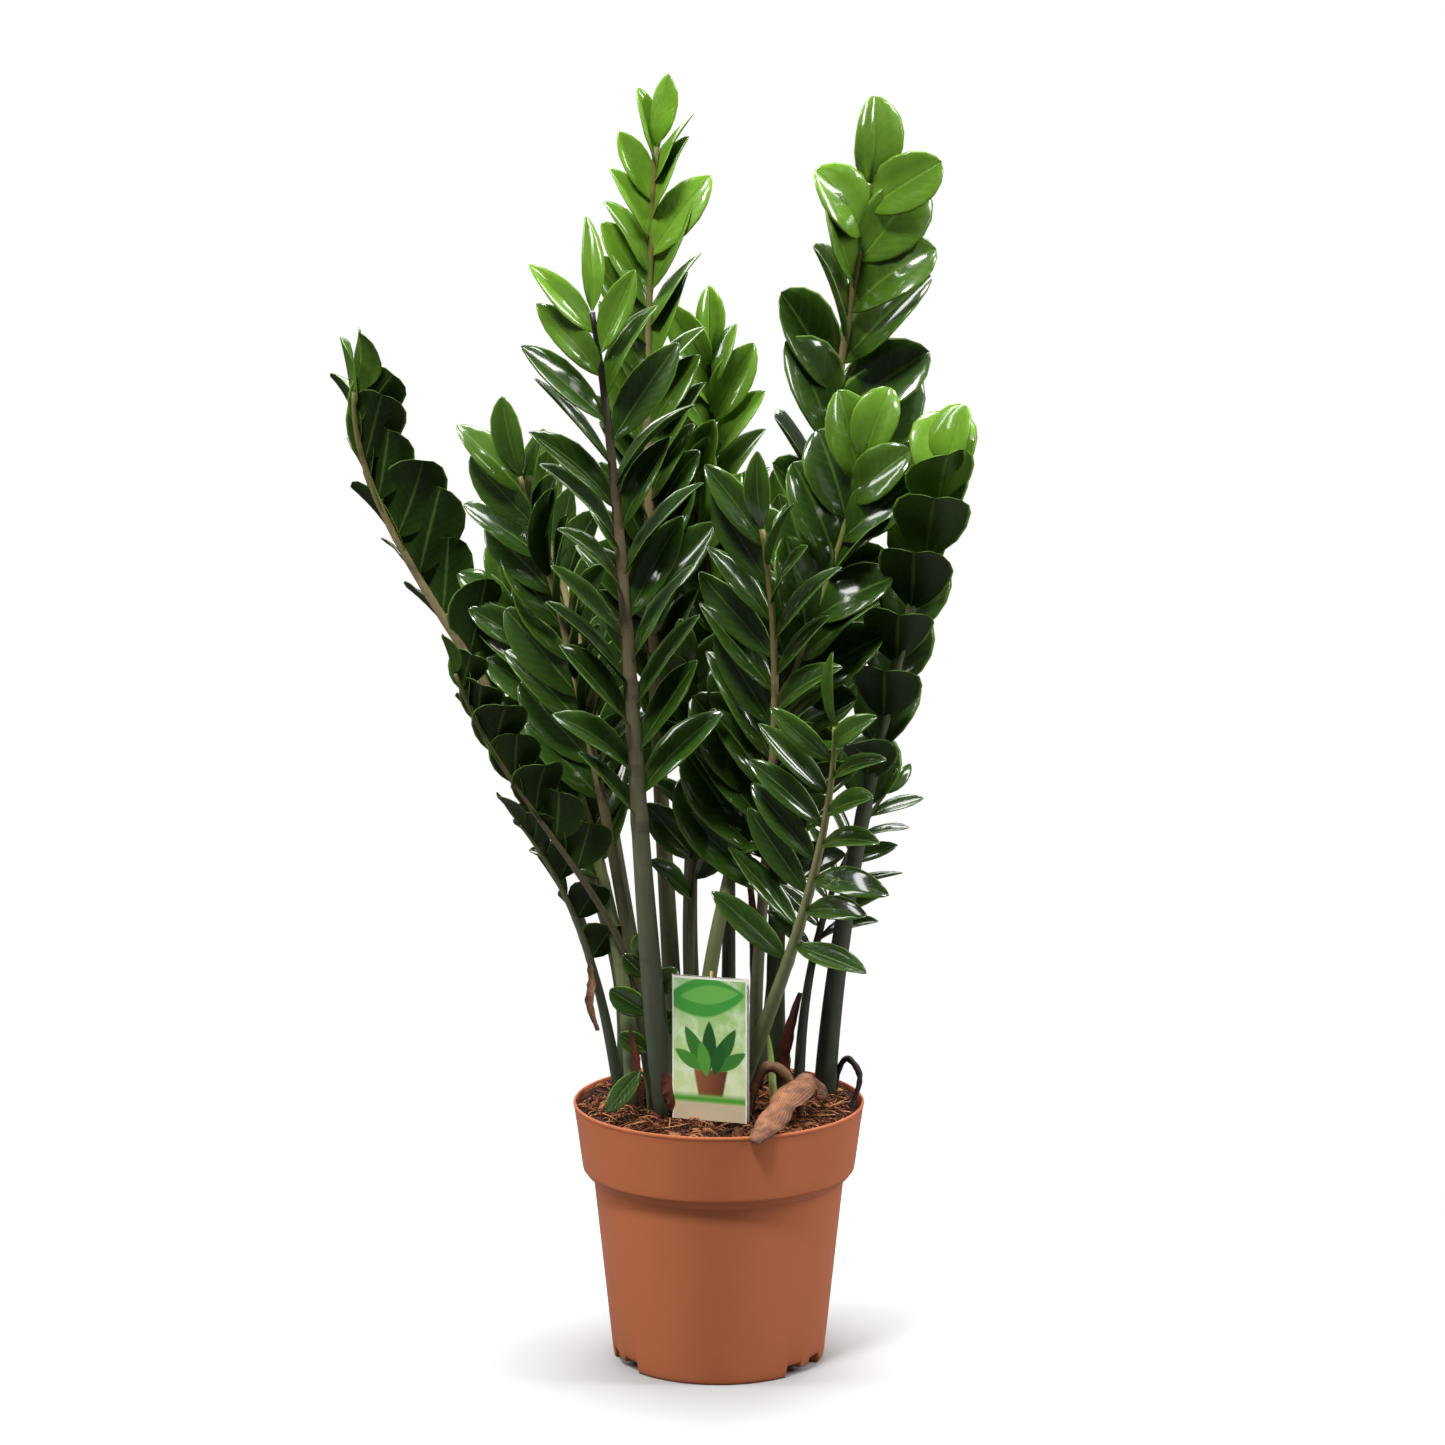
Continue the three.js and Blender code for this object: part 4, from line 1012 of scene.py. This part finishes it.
def stick_piece():
    """The bamboo stick in the card's fold: a round rod up the middle of its CAD box."""
    low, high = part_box("label_stick")
    middle = (np.array(low) + np.array(high)) / 2 / MM
    z = np.linspace(low.z / MM, high.z / MM, 30)
    line = np.stack([np.full_like(z, middle[0]), np.full_like(z, middle[1]), z], axis=-1)
    rings = tube_rings(line, np.full_like(z, 1.5), 12)[None]
    new_piece("label_stick_wood", rings, bamboo_wood, "label_stick", ["label_stick"])


pot_piece()
soil_piece()
fibre_piece()
chip_piece()
frond_pieces()
low_leaf_pieces()
strip_pieces()
small_pieces()
card_piece()
stick_piece()


# ---------------------------------------------------------------- studio
def floor_piece():
    """A pale round floor that glows more and more outwards, so its dimmer middle is a painted soft shadow
    round the pot, and lights the object only as a dull grey one.
    """
    turn = np.linspace(0, 2 * math.pi, 96, endpoint=False)
    reach = 0.85
    rim = np.stack([reach * np.cos(turn), reach * np.sin(turn), 0 * turn], axis=-1)
    mesh = bpy.data.meshes.new("studio_floor")
    mesh.from_pydata(rim.tolist(), [], [tuple(range(len(turn)))])
    paper = Finish("studio_paper", Roughness=0.9, Specular_IOR_Level=0.0, Base_Color=(0.4, 0.4, 0.4, 1),
                   Emission_Strength=0.7)
    spot = paper.add("ShaderNodeTexCoord", output="Object")
    distance = paper.add("ShaderNodeVectorMath", {"operation": "LENGTH"}, {0: spot}, output="Value")
    # Painted shadow: the glow is nil near the pot and rises outwards to full, a soft grey pool about the
    # pot's foot.
    paper.surface(Emission_Color=paper.grey(distance.share(0.1, 0.5) ** 0.8))
    dull = paper.add("ShaderNodeBsdfDiffuse", {}, {"Color": (0.2, 0.2, 0.2, 1)})
    seen = paper.add("ShaderNodeLightPath", output="Is Camera Ray")
    bright = Value(paper, paper.shader.outputs["BSDF"])
    shown = paper.add("ShaderNodeMixShader", {}, {0: seen, 1: dull, 2: bright})
    paper.feed(paper.tree.nodes["Material Output"], {"Surface": shown})
    mesh.materials.append(paper.material)
    floor = bpy.data.objects.new("studio_floor", mesh)
    bpy.context.scene.collection.objects.link(floor)


def studio_air():
    """A world that is plain white to the camera and gives a faint even light."""
    world = bpy.data.worlds.new("studio_air")
    bpy.context.scene.world = world
    world.use_nodes = True
    tree = world.node_tree
    soft = tree.nodes["Background"]
    soft.inputs["Color"].default_value = (1, 1, 1, 1)
    soft.inputs["Strength"].default_value = 0.09
    white = tree.nodes.new("ShaderNodeBackground")
    white.inputs["Color"].default_value = (1, 1, 1, 1)
    ray = tree.nodes.new("ShaderNodeLightPath")
    choose = tree.nodes.new("ShaderNodeMixShader")
    tree.links.new(ray.outputs["Is Camera Ray"], choose.inputs[0])
    tree.links.new(soft.outputs[0], choose.inputs[1])
    tree.links.new(white.outputs[0], choose.inputs[2])
    tree.links.new(choose.outputs[0], tree.nodes["World Output"].inputs["Surface"])


def studio_lights():
    """Soft boxes, each at a place, aimed at a point, with its power in watts and its size in metres."""
    for name, spot, aim, power, wide, tall in [
            ("key_softbox", (-0.7, -1.6, 3.1), (0, 0, 0.4), 102, 0.55, 0.55),
            ("fill_softbox", (2.2, -2.4, 1.8), (0, 0, 0.6), 3, 1.4, 1.4),
            ("top_softbox", (0.1, 0.4, 2.9), (0, 0, 0.6), 80, 1.5, 1.1),
            ("left_strip", (-1.9, -0.3, 1.9), (0, 0, 0.7), 38, 0.4, 2.0),
            ("right_strip", (1.9, -0.4, 1.9), (0, 0, 0.7), 54, 0.4, 2.0),
            ("back_softbox", (0.0, 2.3, 2.2), (0, 0, 0.8), 60, 3.0, 1.2)]:
        light = bpy.data.lights.new(name, "AREA")
        light.shape = "RECTANGLE"
        light.size = wide
        light.size_y = tall
        light.energy = power
        lamp = bpy.data.objects.new(name, light)
        lamp.location = spot
        way = unit(np.array(aim, float) - np.array(spot))
        lamp.rotation_euler = (math.acos(-way[2]), 0, math.atan2(way[1], way[0]) - math.pi / 2)
        lamp.visible_camera = False
        bpy.context.scene.collection.objects.link(lamp)


def studio_camera():
    """A long lens in front of the plant, looking a little down."""
    lens = bpy.data.cameras.new("camera")
    lens.lens = 104.8
    lens.sensor_width = 36
    lens.clip_end = 60
    camera = bpy.data.objects.new("camera", lens)
    camera.location = (0.0035, -3.8, 1.25)
    camera.rotation_euler = (math.radians(90 - 9.7), 0, 0)
    bpy.context.scene.collection.objects.link(camera)
    bpy.context.scene.camera = camera
    bpy.context.scene.view_settings.view_transform = "Standard"


floor_piece()
studio_air()
studio_lights()
studio_camera()
